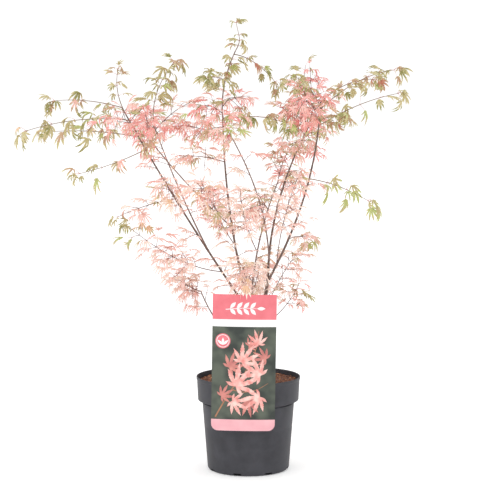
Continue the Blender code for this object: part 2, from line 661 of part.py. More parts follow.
def grow_mass(name, mass, stem, others, in_space, attempt):
    """Pairs along the stem, each turned from the last, then a leaf at its tip."""
    rng = random.Random(f"{SEED}-{name}-{attempt}")
    growth = Growth(stem, others)
    quarter = rng.uniform(-PAIR_TURN, PAIR_TURN)
    for number in range(mass.pairs):
        share = mass.bare + (LAST_PAIR_SHARE - mass.bare) * number / (mass.pairs - 1)
        root, axis = stem.axis(share)
        stagger = axis * PAIR_STAGGER
        turn = quarter + (number % 2) * math.pi / 2.0
        ways = pair_directions(axis, turn)
        rng.shuffle(ways)
        if mass.reach and number == 0:
            grow_side_twig(growth, root - stagger, ways.pop(), mass.reach, mass.blade, rng, in_space)
        for way in ways:
            grow_leaf(growth, root + stagger, way, mass.blade, rng, in_space)
            stagger = -stagger
    end, axis = stem.axis(TIP_ROOT_SHARE)
    grow_leaf(growth, end, axis, mass.blade, rng, in_space)
    return growth.shapes


def join_mass(name, shapes, surface):
    """One object from a stem and the twigs and leaves sunk into it."""
    target = add_object(name, shapes[0], surface)
    pieces = bpy.data.collections.new(f"{name}_pieces")
    bpy.context.scene.collection.children.link(pieces)
    made = []
    for number, shape in enumerate(shapes[1:]):
        piece = add_object(f"{name}_piece_{number}", shape, surface)
        bpy.context.scene.collection.objects.unlink(piece)
        pieces.objects.link(piece)
        made.append(piece)
    bake_boolean(target, "UNION", collection=pieces, solver="MANIFOLD")
    remove(made)
    bpy.data.collections.remove(pieces)
    return target


def settle(mesh):
    """Weld the specks that a union leaves, and say whether the mesh is closed with no slivers."""
    work = bmesh.new()
    work.from_mesh(mesh)
    bmesh.ops.remove_doubles(work, verts=work.verts, dist=SPECK * MM)
    bmesh.ops.triangulate(work, faces=work.faces)
    closed = all(edge.is_manifold for edge in work.edges)
    heights = [2.0 * face.calc_area() / max(edge.calc_length() for edge in face.edges) for face in work.faces]
    work.to_mesh(mesh)
    work.free()
    return closed and min(heights) > SLIVER * MM


def mass_stems(limbs):
    """Each mass's stem, set clear of its carrier and nudged until it touches nothing."""
    rng = random.Random(SEED)
    placed = [tree_of(limb.shape()) for limb in limbs.values()]
    stems = {}
    for name, mass in MASSES.items():
        carrier = limbs[mass.carrier]
        radii = (MASS_STEM_RADIUS, MASS_TIP_RADIUS)
        nudge = Vector((0.0, 0.0, 0.0))
        for _ in range(NUDGES):
            bow = Vector(mass.bow) + nudge
            stem = Stem(carrier.axis(mass.share)[0], mass.tip, bow, *radii, TWIG_SIDES, TWIG_STEP)
            stem.leave(carrier, mass.share)
            tree = tree_of(stem.shape(grow=0.5 * GAP))
            if not any(tree.overlap(other) for other in placed):
                break
            nudge = stray(rng, NUDGE)
        stems[name] = stem
        placed.append(tree_of(stem.shape(grow=CLEARANCE)))
    return stems



def build_foliage(limbs, label):
    """Every mass in turn, each within the space nearest its own stem and clear of the label."""
    stems = mass_stems(limbs)
    names = list(stems)
    space = kdtree.KDTree(len(names) * SPACE_SAMPLES)
    for owner, name in enumerate(names):
        for k in range(SPACE_SAMPLES):
            space.insert(stems[name].point(SPACE_FROM + (1.0 - SPACE_FROM) * k / (SPACE_SAMPLES - 1)), owner)
    space.balance()
    surfaces = {tint: material(f"leaves_{tint}", colour) for tint, colour in TINTS.items()}
    fixed = [tree_of(limb.shape()) for limb in limbs.values()] + [tree_of_object(label)]
    stem_trees = {name: tree_of(stem.shape()) for name, stem in stems.items()}
    grown = []
    for owner, name in enumerate(names):
        others = fixed + [tree for other, tree in stem_trees.items() if other != name] + grown
        mass = MASSES[name]
        first = PASSED_OVER.get(name, 0)
        for attempt in range(first, first + REGROWTHS):
            shapes = grow_mass(name, mass, stems[name], others, lambda p: space.find(p)[1] == owner, attempt)
            joined = join_mass(name, shapes, surfaces[mass.tint])
            if settle(joined.data) or attempt == first + REGROWTHS - 1:
                break
            remove([joined])
        grown.append(tree_of(join_shapes(shapes)))


def main():
    clear_scene()
    build_pot()
    build_soil()
    label = build_label()
    limbs = build_limbs()
    build_foliage(limbs, label)


main()
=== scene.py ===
"""A young potted Japanese maple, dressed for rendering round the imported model's frame.

Lengths in the tables are millimetres and become metres as each mesh is made.  The pot,
compost and label are made finer than their solids, bark with its relief stands in for
the trunk and stems, and each leaf mass grows again from its own stem by the source's
rule, carried on to finer twigs with many more leaves, near their real size.
"""

import json
import random
from collections import defaultdict, namedtuple
from itertools import product
from math import copysign, cos, exp, floor, hypot, pi, radians, sin, sqrt

import bmesh
import bpy
from mathutils import Matrix, Vector, kdtree, noise
from mathutils.bvhtree import BVHTree

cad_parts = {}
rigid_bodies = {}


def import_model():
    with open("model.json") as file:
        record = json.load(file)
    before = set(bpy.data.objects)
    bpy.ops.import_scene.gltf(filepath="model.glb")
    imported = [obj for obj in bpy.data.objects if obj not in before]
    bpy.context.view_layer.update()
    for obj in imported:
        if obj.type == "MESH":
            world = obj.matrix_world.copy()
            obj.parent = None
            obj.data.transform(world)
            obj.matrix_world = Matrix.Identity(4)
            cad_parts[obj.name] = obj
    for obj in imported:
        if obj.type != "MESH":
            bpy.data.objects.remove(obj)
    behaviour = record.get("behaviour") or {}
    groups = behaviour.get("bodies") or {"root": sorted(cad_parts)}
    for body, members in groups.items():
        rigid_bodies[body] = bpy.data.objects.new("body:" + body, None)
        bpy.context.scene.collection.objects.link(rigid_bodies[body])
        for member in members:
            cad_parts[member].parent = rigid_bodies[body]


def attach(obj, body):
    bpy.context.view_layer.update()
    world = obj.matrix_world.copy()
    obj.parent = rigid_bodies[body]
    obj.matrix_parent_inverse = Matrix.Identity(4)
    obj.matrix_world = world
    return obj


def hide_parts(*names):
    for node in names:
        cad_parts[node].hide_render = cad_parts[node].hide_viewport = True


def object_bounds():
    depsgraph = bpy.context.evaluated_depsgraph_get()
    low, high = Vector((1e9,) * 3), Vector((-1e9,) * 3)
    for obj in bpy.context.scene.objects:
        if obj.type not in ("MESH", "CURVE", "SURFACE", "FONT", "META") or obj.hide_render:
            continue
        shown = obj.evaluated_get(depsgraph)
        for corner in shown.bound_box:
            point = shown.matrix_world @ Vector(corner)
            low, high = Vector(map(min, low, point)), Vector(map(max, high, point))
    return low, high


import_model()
CAD_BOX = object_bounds()

MM = 0.001
BODY = "root"
SEED = 20
GAP = 0.3  # the source's clearance between pieces that meet
UP = Vector((0, 0, 1))

# --- camera: the photograph's ---
CAMERA_DISTANCE = 2840  # from the pot's axis
CAMERA_HEIGHT = 663
CAMERA_PITCH = 5.16  # degrees below level
FOCAL_PIXELS = 1550  # for a picture of 500 pixels
PICTURE_PIXELS = 500
AXIS_PIXEL = 248.3  # the column where the pot's axis falls
SENSOR = 36

# --- studio ---
FLOOR_HALF = 30  # metres
FLOOR_DROP = 0.3  # below the pot's base
FLOOR_GLOW = 0.23  # keeps the floor white under the plant
SKY_STRENGTH = 1.1
KEY_PLACE = (-2.3, -2.2, 1.9)  # metres
KEY_AIM = (0, 0, 0.4)
KEY_SIZE = 2.4
KEY_POWER = 14

# --- materials ---
RAMP_ENDS = (0.34, 0.66)  # where the noise gives the dark and the light colour
LEAF_ROUGHNESS = 0.5
BUMP_DEPTH = 0.35
# Edges sharper than this many degrees show as edges.
POT_SHARP = 32
SOIL_SHARP = 40
CARD_SHARP = 30
BARK_SHARP = 50
SHOOT_SHARP = 60
LEAF_SHARP = 28
ROUND_MOST = 0.45  # of the edges that meet at a rounded corner

# --- pot ---
RIM_RADIUS = 96
POT_HEIGHT = 173
COLLAR_HEIGHT = 44
COLLAR_FOOT_RADIUS = 93.2
BODY_TOP_RADIUS = 85.4
BASE_RADIUS = 75.6
POT_WALL = 1.8
BASE_ROUNDING = 3
NOTCHES = 8
NOTCH_WIDTH = 14.5
NOTCH_HEIGHT = 5
NOTCH_DEPTH = 8
FIRST_NOTCH_ANGLE = -60.5
POT_SIDES = 160
MOULD_RING_HEIGHT = 81  # the faint line left round the body by the mould
MOULD_RING_DEPTH = 0.35
UNDERCUT = 1.6  # a groove round the body just under the collar
LIP_HEIGHT = 5  # of the band that stands out at the rim
LIP_DEPTH = 1
POT_SHINE = 0.16

# --- compost ---
SOIL_LEVEL = 160
SOIL_EDGE_DROP = 3
SOIL_EDGE = (55, 35)  # the drop starts at this radius and takes this far
SOIL_RINGS = 34
SOIL_SIDES = 120
SOIL_HEAP = 7  # of its crumbs above the solid's flat top
SOIL_CLEAR = 1.2  # between its edge and the pot's wall
SOIL_SKIRT = (0.97, 14)  # share of the radius, and depth, that its edge goes down to
CRUMB_HEIGHT = 1.6
CRUMBS = ((9, 1.7, 1), (3.5, 8.1, 0.5))  # sizes, places and shares of their noise
CHIPS = 760
CHIP_LENGTH = (1.6, 5.2)
CHIP_WIDTH = (0.35, 0.8)  # of its length
CHIP_DEPTH = (0.15, 0.4)
CHIP_TILT = 0.6
CHIP_MARGIN = 3  # to the compost's edge
CHIP_LIFT = 0.3
CHIP_JAG = (0.6, 1.1)  # how unevenly its corners stand out

# --- label card ---
CARD_WIDTH = 114.5
CARD_TOP = 335.5
CARD_BOTTOM = 89
CARD_THICKNESS = 0.9
CARD_CENTRE_X = -8.6
CARD_SAG = 5
CARD_CORNER = 12
CARD_ROLL = 0.9
CARD_GRID = (48, 40)  # columns and rows of its mesh
TONGUE_WIDTH = 22
TONGUE_HALF_DEPTH = 0.4
TONGUE_CLEAR = 0.9  # above the rim
TONGUE_INSIDE = 2.6  # from the pot's wall
TONGUE_LAP = 8  # how far it comes down behind the card
TONGUE_ROUNDING = 1.6
PRINT_LAYER = 0.07  # how far each layer of print stands off the one below
HEADER_FOOT = 45  # heights down from the card's top edge
STRIPE_FOOT = 58
PANEL_FOOT = 226
PATCH_CELL = (3, 6)  # width and height of a cell of a printed band's mesh
PRINTED_LOBE_WIDTH = 0.11
PRINTED_NOTCH = 0.32
DROP_STEPS = 10
TWIG_CUTS = 8  # of each stretch of a printed twig
TWIG_THINS = 0.6  # a printed twig's width narrows by this share
BADGE = (-38, 84)  # places across from the card's middle and down from its top
BADGE_RADII = (13.5, 11.6, 10.6)
SPRIG_LINE = 25
VARNISH = {"Coat Weight": 0.35, "Coat Roughness": 0.22}
# Each print's dark and light colour, the size of its mottle, its roughness and its detail.
PRINTS = {
    "card": ((226, 219, 217), (238, 234, 232), 14, (0.42, 0.5), 4),
    "print_pink": ((222, 106, 116), (230, 118, 128), 20, (0.36, 0.46), 4),
    "print_white": ((234, 234, 234), (243, 243, 243), 20, (0.36, 0.46), 4),
    "print_dusk": ((22, 34, 25), (78, 86, 72), 26, (0.32, 0.42), 1.5),
    "print_foot": ((228, 164, 172), (236, 178, 184), 20, (0.36, 0.46), 4),
    "print_petal": ((224, 134, 126), (246, 204, 194), 11, (0.34, 0.44), 4),
    "print_shade": ((176, 96, 92), (214, 138, 126), 16, (0.34, 0.44), 4),
    "print_bark": ((132, 84, 58), (178, 122, 84), 12, (0.34, 0.44), 4),
}
PRINT_BUMP = 0.05
# Printed leaves: across, down, size and turn in degrees.
BACK_LEAVES = (
    (-26, 132, 34, 48), (40, 116, 28, -62), (8, 192, 31, 168),
    (-40, 184, 27, 60), (8, 92, 22, 58),
)
FRONT_LEAVES = (
    (26, 90, 29, -16), (-4, 122, 40, 34), (30, 146, 42, -56),
    (-14, 166, 48, 40), (-20, 192, 34, 118), (30, 184, 38, -128),
)
MAIN_TWIG = (
    (-50, 222), (-36, 196), (-22, 172), (-4, 150), (12, 124), (22, 96), (26, 66),
)
SIDE_TWIG = ((-22, 172), (2, 176), (24, 172), (44, 160))

# --- stems: the source's tables ---
LIMB_SIDES = 6
LIMB_STEP = 55
TWIG_SIDES = 3
TWIG_STEP = 55
TRUNK_FLARE = 2.8
FLARE_HEIGHT = 16
FLARE_SHARES = (0.08, 0.2)

# Each limb leaves its parent at a share of the parent's length and bends by its bow.
# A limb that carries on from its parent's tip comes before those beside it.
Limb = namedtuple("Limb", "parent share tip bow base_radius tip_radius")
TRUNK = Limb(None, 0, (22, 0, 250), (0, 0, 0), 5.6, 4)
TRUNK_FOOT = (10, 0)
LIMBS = {
    "right_leader": Limb("trunk", 1, (36, -8, 353), (0, 0, 0), 3.7, 2.9),
    "upright_stem": Limb("right_leader", 1, (112, 70, 630), (-18, 0, 0), 2.3, 1.15),
    "right_stem": Limb("right_leader", 0.96, (129, -60, 677), (21, 3, 0), 2.2, 1.25),
    "inner_stem": Limb("upright_stem", 0.12, (-34, -100, 623), (16, 0, 0), 1.5, 1.05),
    "left_leader": Limb("trunk", 0.62, (-2, 2, 312), (-2, 0, 0), 3.2, 2.7),
    "left_centre": Limb("left_leader", 1, (-47, 30, 648), (-10, 2, 0), 2.3, 1.35),
    "left_stem": Limb("left_leader", 0.8, (-227, -40, 667), (-6, -6, 0), 2.2, 1.2),
    "left_second": Limb("left_stem", 0.3, (-178, 100, 633), (-4, -8, 0), 1.5, 1.05),
    "top_leader": Limb("left_centre", 1, (-23, 20, 772), (-9, 0, 0), 1.3, 1),
    "left_inner": Limb("left_centre", 0.4, (-169, -85, 603), (-2, -8, -4), 1.45, 1.05),
    "centre_stem": Limb("left_leader", 0.55, (56, 70, 530), (-14, -4, 0), 1.8, 1.05),
    "low_left": Limb("trunk", 0.42, (-87, -10, 331), (-10, -2, -6), 1.6, 1.1),
}
# The bark's mesh on them.
OLD_BARK_RADIUS = 2  # a limb this thick at its foot has old bark
BARK_SIDES = 16
BARK_STEP = 3  # between the rings of the bark's mesh
BARK_RELIEF = 0.07  # of the stem's radius
BARK_GRAIN = (9, 26)  # sizes of the relief across and along the stem
GRAIN_RATE = (10, 3)  # how fast its noise runs across and along
FINE_GRAIN = 2.7  # how much finer the second noise is
BUD_SPACING = 38  # between the rings that old leaf pairs leave on a stem
BUD_SHIFT = 7  # of the rings from one stem to the next
BUD_SWELL = 0.16
BUD_WIDTH = 1.6
FORK_SWELL = 0.45  # how much wider a limb is where it leaves its parent
FORK_FADE = 7
FORK_SUNK = 3  # how far a limb on its parent's end starts inside it

# --- foliage: the source's tables ---
# Each mass has a stem from its carrier to its tip: where it leaves the carrier, its tip
# and bow, how long the side twigs are, the share of the stem that stays bare, the length
# of a leaf blade and its tint.  Last comes how far apart its leaves stand here, against
# their habit's steps.
Mass = namedtuple("Mass", "carrier share tip bow reach bare blade tint spacing")
MASS_ROWS = (
    ("left_stem", (
        ("far_left_upper", 0.94, (-394, -85, 626), (0, 0, 10), 0, 0.3, 38, "olive", 1.9),
        ("far_left_lower", 0.86, (-378, 60, 622), (0, 0, 6), 0, 0.3, 38, "olive", 1.9),
        ("left_high", 1, (-356, 20, 680), (0, 0, 6), 0, 0.2, 38, "olive", 1.7),
        ("left_top", 0.97, (-240, 15, 728), (-6, 0, 0), 0, 0.45, 36, "olive", 1.5),
        ("left_pink", 0.9, (-232, -150, 648), (0, 0, 8), 46, 0.25, 40, "pink", 1.15),
        ("left_arm_high", 0.8, (-296, -120, 552), (0, 0, -4), 0, 0.35, 40, "olive", 1.5),
        ("left_arm_mid", 0.56, (-232, -95, 474), (0, 0, 4), 20, 0.3, 38, "peach", 1),
        ("left_arm_low", 0.2, (-216, -70, 456), (4, 0, -18), 34, 0.3, 40, "peach", 0.85),
        ("left_mid", 0.48, (-145, -150, 535), (0, 0, 6), 34, 0.25, 38, "peach", 1),
    )),
    ("left_inner", (
        ("left_knot", 1, (-176, -165, 640), (0, 0, 6), 40, 0.15, 40, "pink", 1.1),
    )),
    ("low_left", (
        ("low_left_spray", 1, (-140, 40, 356), (0, 0, -4), 26, 0.15, 38, "peach", 0.58),
    )),
    ("left_second", (
        ("second_left", 0.94, (-206, 185, 655), (0, 0, 6), 36, 0.2, 40, "pink", 1),
        ("second_right", 0.97, (-112, 105, 676), (0, 0, 6), 30, 0.2, 40, "peach", 1),
        ("left_spire", 1, (-140, 85, 752), (-14, 0, 0), 0, 0.25, 38, "olive", 0.6),
    )),
    ("left_inner", (
        ("inner_front", 0.16, (-86, -200, 538), (0, 0, 4), 34, 0.3, 38, "peach", 0.9),
    )),
    ("left_centre", (
        ("mid_shoot", 0.76, (-130, 140, 575), (0, 0, 4), 28, 0.3, 38, "peach", 1),
        ("upper_shoot", 0.9, (-132, -30, 633), (0, 0, 6), 24, 0.3, 36, "pink", 0.85),
    )),
    ("top_leader", (
        ("crown_front", 0.06, (-84, -130, 670), (0, 0, 6), 40, 0.2, 40, "pink", 1.8),
        ("crown_back", 0.18, (-22, 190, 684), (0, 0, 8), 42, 0.25, 40, "pink", 1.8),
        ("leader_cluster", 0.55, (-72, -56, 720), (0, 0, 4), 0, 0.3, 36, "olive", 1.4),
        ("leader_top", 1, (-17, 25, 799), (3, 0, 0), 0, 0.25, 32, "olive", 1),
        ("leader_side", 0.94, (50, 90, 716), (0, 0, 10), 0, 0.3, 36, "olive", 1.4),
    )),
    ("inner_stem", (
        ("inner_tip", 1, (-46, -205, 633), (0, 0, 4), 38, 0.15, 40, "pink", 1.3),
    )),
    ("left_centre", (
        ("long_right", 0.985, (66, -118, 640), (0, -10, 10), 0, 0.25, 36, "olive", 1.1),
        ("left_mid_back", 0.3, (-76, 160, 505), (-6, 0, 0), 34, 0.3, 38, "peach", 0.85),
    )),
    ("centre_stem", (
        ("centre_front", 0.5, (-14, -190, 528), (-6, 0, 0), 32, 0.35, 38, "peach", 1.05),
        ("centre_back", 0.8, (22, 215, 474), (0, 0, 6), 36, 0.25, 38, "peach", 1),
        ("centre_tip", 1, (80, 110, 592), (-4, 0, 0), 34, 0.2, 40, "pink", 1),
        ("low_front", 0.3, (-16, -150, 402), (0, 0, -6), 32, 0.35, 38, "peach", 0.95),
        ("low_back", 0.22, (22, 170, 362), (0, 0, -6), 32, 0.3, 38, "peach", 0.7),
    )),
    ("right_stem", (
        ("right_inner", 0.1, (86, -130, 545), (-6, -6, 0), 30, 0.4, 38, "peach", 1),
    )),
    ("upright_stem", (
        ("upright_back", 0.58, (90, 205, 545), (0, 0, 6), 36, 0.25, 40, "pink", 1.4),
        ("upright_mid", 0.85, (84, -50, 604), (0, 0, 6), 32, 0.3, 38, "pink", 1.45),
        ("upright_tip", 1, (92, 165, 672), (0, 0, 6), 42, 0.15, 40, "pink", 0.85),
    )),
    ("right_stem", (
        ("right_front", 0.93, (92, -180, 682), (0, 0, 6), 42, 0.2, 40, "pink", 1.05),
        ("right_crown", 0.98, (94, 10, 726), (0, 0, 4), 34, 0.25, 38, "pink", 1.05),
        ("right_green", 0.9, (166, -150, 650), (0, 0, 4), 0, 0.3, 38, "olive", 0.75),
        ("right_top_one", 1, (228, -20, 718), (0, 0, 12), 0, 0.25, 34, "olive", 1),
        ("right_top_two", 0.96, (274, 100, 738), (0, 0, 14), 0, 0.3, 36, "olive", 1.5),
        ("right_top_three", 0.87, (262, -120, 692), (0, 0, 8), 0, 0.3, 36, "olive", 1.4),
        ("right_arm", 0.58, (212, -90, 503), (0, 0, 6), 0, 0.3, 40, "olive", 1.5),
        ("right_low", 0.24, (116, 60, 420), (0, 0, 6), 16, 0.45, 38, "peach", 1),
    )),
    ("right_leader", (
        ("back_right", 0.34, (100, 180, 388), (0, 0, 12), 28, 0.45, 38, "peach", 0.85),
        ("low_right_spray", 0.14, (92, -60, 352), (6, 0, -6), 20, 0.6, 38, "pink", 0.8),
    )),
)
MASSES = {name: Mass(carrier, *row) for carrier, rows in MASS_ROWS for name, *row in rows}
MASS_STEM_RADIUS = 1.05
MASS_TIP_RADIUS = 0.85
CLEARANCE = 0.6
NUDGES = 40
NUDGE = 9
SPACE_SAMPLES = 12
SPACE_FROM = 0.15
PAIR_ANGLE = 56
PAIR_TURN = 0.4
STEEP = 0.2  # an axis this near upright has its pairs turned from X

# --- the finer growth ---
SHOOT_RADII = (0.95, 0.5)  # of a mass's own stem, foot and tip
SHOOT_STEP = 9  # between the rings of its mesh
TWIG_RADII = (0.6, 0.4)
TWIG_RISE = 0.06  # of its length, in its middle
TWIG_PARTS = 24  # where leaves can grow from it
LAST_FORK = 0.6  # how many steps the last pair stands before its tip
TWIG_LEAST = 14  # a shorter one is a leaf
TWIG_CHANCE = 0.86
STALK_RADIUS = 0.3
STALK_TAPER = (1.5, 1, 1, 0.8)
STALK_SAG = 0.1
STALK_SHARE = (0.35, 0.62)  # of the blade's length
BLADE_SPREAD = (0.68, 1.16)
BLADE_PROBES = (0.4, 0.9)  # shares of the blade where it is tested
BEND_SPREAD = (0.5, 1.5)
LEAST_BEND = 0.05
REACH_SPREAD = (0.65, 1.15)
FAR_REACH_SHARE = 0.45  # a side twig near the stem's tip is shorter by this
LAST_NODE = 0.97  # of the stem
LAST_PAIR = 0.985
CROSSED_SIZE = 0.85  # of the leaves across a pair or beside the tip
BEYOND_SIZE = 0.75  # of those on a shoot's last stretch
TIP_SIZE = 0.9
DIRECTION_SWAY = 0.36
HIGHEST_RISE = 0.35  # of a stalk's direction: leaves turn to lie side by side
LEAF_SPACING = 6.5  # least distance between the middles of two blades
TRIES = 9
BOX_MARGIN = 6  # how far a blade may reach past the solids' box
CARD_ROOM = (3, 5, 6, 9)  # kept free above, beside, before and behind the card
POT_ROOM = (4, 6)  # above and round the pot

# How the leaves of each tint grow: the blade's size against the source's, which is larger
# than life, a lobe's half width, the chance of seven lobes instead of five and how far
# the lobes open.  A blade dips and tilts.  Its lobes bend by radians from centre to tip,
# fold up along their midlines and twist.  Then come the distances between the leaf pairs
# of a stem and of a side twig, and the chance of a second pair across the first.
Habit = namedtuple(
    "Habit", "share width seven open dip tilt bend fold twist step twig_step crossed"
)
HABITS = {
    "pink": Habit(
        0.64, 0.08, 0.6, (0.5, 1), (-0.2, 0.75), 0.55,
        (0.3, 1.8), (0.3, 1.05), 1.2, 17, 11.5, 0.5,
    ),
    "peach": Habit(
        0.64, 0.072, 0.6, (0.5, 1), (-0.2, 0.5), 0.42,
        (0.3, 1.6), (0.35, 1.1), 1.2, 19.5, 12, 0.3,
    ),
    "olive": Habit(
        0.9, 0.108, 0.3, (0.42, 1), (0, 1.4), 0.8,
        (0.3, 1.7), (0.3, 0.95), 1, 27, 15, 0.6,
    ),
}
# How far the side twigs of some masses reach, against the source's, how far past the
# source's tip a shoot goes on, and how large the leaves are, against their habit's.
REACH = {"right_front": 1.25, "right_crown": 1.3, "upright_tip": 1.5}
LONGER = {"leader_top": 24, "left_top": 12}
LEAF_SIZE = {
    "left_top": 0.7, "left_spire": 0.9, "left_arm_high": 0.85, "right_arm": 0.92,
    "leader_top": 0.75, "leader_side": 0.85, "long_right": 0.8, "right_green": 0.75,
    "right_crown": 0.9, "right_top_one": 0.85,
}
# Short shoots straight from the limbs: from which share of each to which, and the
# distance between them, in each tint.
Shoots = namedtuple("Shoots", "limb first last step tint", defaults=("peach",))
LIMB_SHOOTS = (
    Shoots("left_stem", 0.28, 0.8, 46), Shoots("left_second", 0.2, 0.85, 42),
    Shoots("left_inner", 0.3, 0.9, 32), Shoots("left_centre", 0.15, 0.8, 30),
    Shoots("centre_stem", 0.35, 0.95, 30), Shoots("inner_stem", 0.2, 0.85, 32),
    Shoots("upright_stem", 0.15, 0.6, 30), Shoots("right_stem", 0.2, 0.62, 34),
    Shoots("low_left", 0.8, 1, 12), Shoots("left_leader", 0.55, 0.95, 26),
    Shoots("right_leader", 0.55, 0.95, 26), Shoots("left_stem", 0.04, 0.28, 18),
    Shoots("left_centre", 0.02, 0.15, 16), Shoots("left_inner", 0.04, 0.3, 22),
    Shoots("left_stem", 0.7, 0.9, 17), Shoots("left_second", 0.8, 0.98, 22, "pink"),
    Shoots("left_centre", 0.8, 0.96, 20), Shoots("upright_stem", 0.8, 1, 10, "pink"),
    Shoots("right_stem", 0.86, 1, 14, "pink"),
    Shoots("top_leader", 0.34, 0.92, 7, "olive"),
)
LIMB_SHOOT_REACH = {"peach": (14, 44), "pink": (24, 64)}
LIMB_BLADE = 38
LIMB_OLIVE_SIZE = 0.75

# Half a leaf, as lobes from the middle one outwards: the angle of each from the midrib
# and its length as a share of the blade.
SEVEN_LOBES = ((0, 1), (31, 0.93), (64, 0.74), (103, 0.42))
FIVE_LOBES = ((0, 1), (37, 0.86), (80, 0.5))
# A lobe's edge: shares of its length and of its half width, in and out along the teeth.
LOBE_EDGE = (
    (0.42, 0.86), (0.45, 0.72), (0.55, 1), (0.58, 0.78),
    (0.68, 0.86), (0.71, 0.6), (0.82, 0.52), (0.84, 0.34),
)
LOBE_TAPER = (0.45, 0.55)  # a short lobe's width: this, and this for each of its length
NOTCH_SHARE = 0.22  # how far from the centre two lobes part
NOTCH_RISE = 0.08
LAST_EDGE = (20, 0.13)  # the last lobes' outer edge: degrees out and reach
INNER_STATIONS = 3  # the stations that take a leaf's inner colour

# Leaf colours in three groups as the photograph shows them, in sRGB out of 255.
LEAF_COLOURS = {
    "leaves_pink": {
        "deep_pink": (236, 154, 150), "rose": (243, 182, 174),
        "salmon": (242, 196, 184), "russet": (192, 128, 104),
    },
    "leaves_peach": {
        "blush": (246, 211, 202), "peach": (248, 222, 210),
        "cream": (250, 232, 219), "apricot": (233, 196, 162),
    },
    "leaves_olive": {
        "bronze": (196, 163, 130), "khaki": (200, 188, 141),
        "olive": (160, 156, 97), "green": (196, 201, 133),
    },
}
SHOOT_COLOURS = (
    ("shoots_violet", "shoot_violet", (122, 90, 84), 0.55),
    ("shoots_green", "shoot_green", (136, 112, 90), 0.55),
    ("stalks", "stalk_red", (180, 108, 94), 0.5),
)
# What a mass of each tint is dealt: a weight, then a spray's inner and outer colour.
PALETTES = {
    "pink": (
        (17, "rose", "deep_pink"), (18, "salmon", "rose"), (18, "blush", "rose"),
        (4, "deep_pink", "russet"), (8, "peach", "blush"), (8, "bronze", "khaki"),
        (9, "khaki", "olive"), (6, "salmon", "bronze"), (6, "green", "khaki"),
        (4, "salmon", "khaki"),
    ),
    "peach": (
        (26, "peach", "blush"), (20, "cream", "peach"), (18, "blush", "salmon"),
        (12, "salmon", "rose"), (8, "apricot", "peach"), (4, "bronze", "khaki"),
        (5, "khaki", "apricot"), (2, "salmon", "russet"), (5, "cream", "khaki"),
    ),
    "pale": (
        (30, "cream", "peach"), (26, "peach", "cream"), (20, "blush", "peach"),
        (8, "salmon", "blush"), (8, "apricot", "cream"), (4, "khaki", "apricot"),
        (4, "cream", "khaki"),
    ),
    "olive": (
        (28, "khaki", "khaki"), (20, "khaki", "olive"), (15, "bronze", "khaki"),
        (12, "olive", "khaki"), (9, "green", "khaki"), (5, "apricot", "khaki"),
        (3, "salmon", "bronze"), (5, "green", "olive"), (3, "russet", "bronze"),
    ),
    "rosy": (
        (28, "rose", "deep_pink"), (24, "salmon", "rose"), (7, "deep_pink", "russet"),
        (14, "blush", "rose"), (12, "khaki", "olive"), (8, "bronze", "khaki"),
        (4, "green", "khaki"),
    ),
    "fresh": (
        (30, "green", "green"), (30, "green", "khaki"), (25, "khaki", "green"),
        (15, "khaki", "bronze"),
    ),
}
# The masses that are dealt another palette, and those whose tips grow olive leaves.
DEALT = {
    "right_arm": "fresh", "right_front": "rosy", "right_crown": "rosy", "crown_front": "rosy",
    "left_pink": "rosy", "low_left_spray": "pale", "low_back": "pale", "low_front": "pale",
}
OLIVE_TIPS = {
    "left_arm_low": 0.84, "left_arm_mid": 0.76, "right_low": 0.72, "right_crown": 0.68,
}


# --- helpers ---
def linear(colour):
    """A linear colour from one seen in sRGB out of 255."""
    shares = [value / 255 for value in colour]
    return (*(v / 12.92 if v <= 0.04045 else ((v + 0.055) / 1.055) ** 2.4 for v in shares), 1)


def set_shader(material, values):
    for name, value in values.items():
        material.node_tree.nodes["Principled BSDF"].inputs[name].default_value = value
    return material


def plain_material(name, colour, roughness):
    made = bpy.data.materials.new(name)
    made.use_nodes = True
    made.diffuse_color = linear(colour)
    return set_shader(made, {"Base Color": linear(colour), "Roughness": roughness})


def textured_material(name, dark, light, size, roughness, bump, stretch=(1, 1, 1), detail=4):
    """One whose colour and relief come from one noise, its size in millimetres."""
    made = plain_material(name, light, roughness[0])
    tree = made.node_tree
    place, mapping, grain, ramp, spread, relief = (
        tree.nodes.new(f"ShaderNode{kind}")
        for kind in ("TexCoord", "Mapping", "TexNoise", "ValToRGB", "MapRange", "Bump")
    )
    shader = tree.nodes["Principled BSDF"]
    for node, socket, value in (
        (mapping, "Scale", stretch),
        (grain, "Scale", 1 / (size * MM)),
        (grain, "Detail", detail),
        (spread, "To Min", roughness[0]),
        (spread, "To Max", roughness[1]),
        (relief, "Strength", bump),
        (relief, "Distance", BUMP_DEPTH * MM),
    ):
        node.inputs[socket].default_value = value
    for element, position, colour in zip(ramp.color_ramp.elements, RAMP_ENDS, (dark, light)):
        element.position, element.color = position, linear(colour)
    for source, output, target, socket in (
        (place, "Object", mapping, "Vector"),
        (mapping, "Vector", grain, "Vector"),
        (grain, "Fac", ramp, "Fac"),
        (ramp, "Color", shader, "Base Color"),
        (grain, "Fac", spread, "Value"),
        (spread, "Result", shader, "Roughness"),
        (grain, "Fac", relief, "Height"),
        (relief, "Normal", shader, "Normal"),
    ):
        tree.links.new(source.outputs[output], target.inputs[socket])
    return made


def put_in_scene(name, data):
    made = bpy.data.objects.new(name, data)
    bpy.context.scene.collection.objects.link(made)
    return made


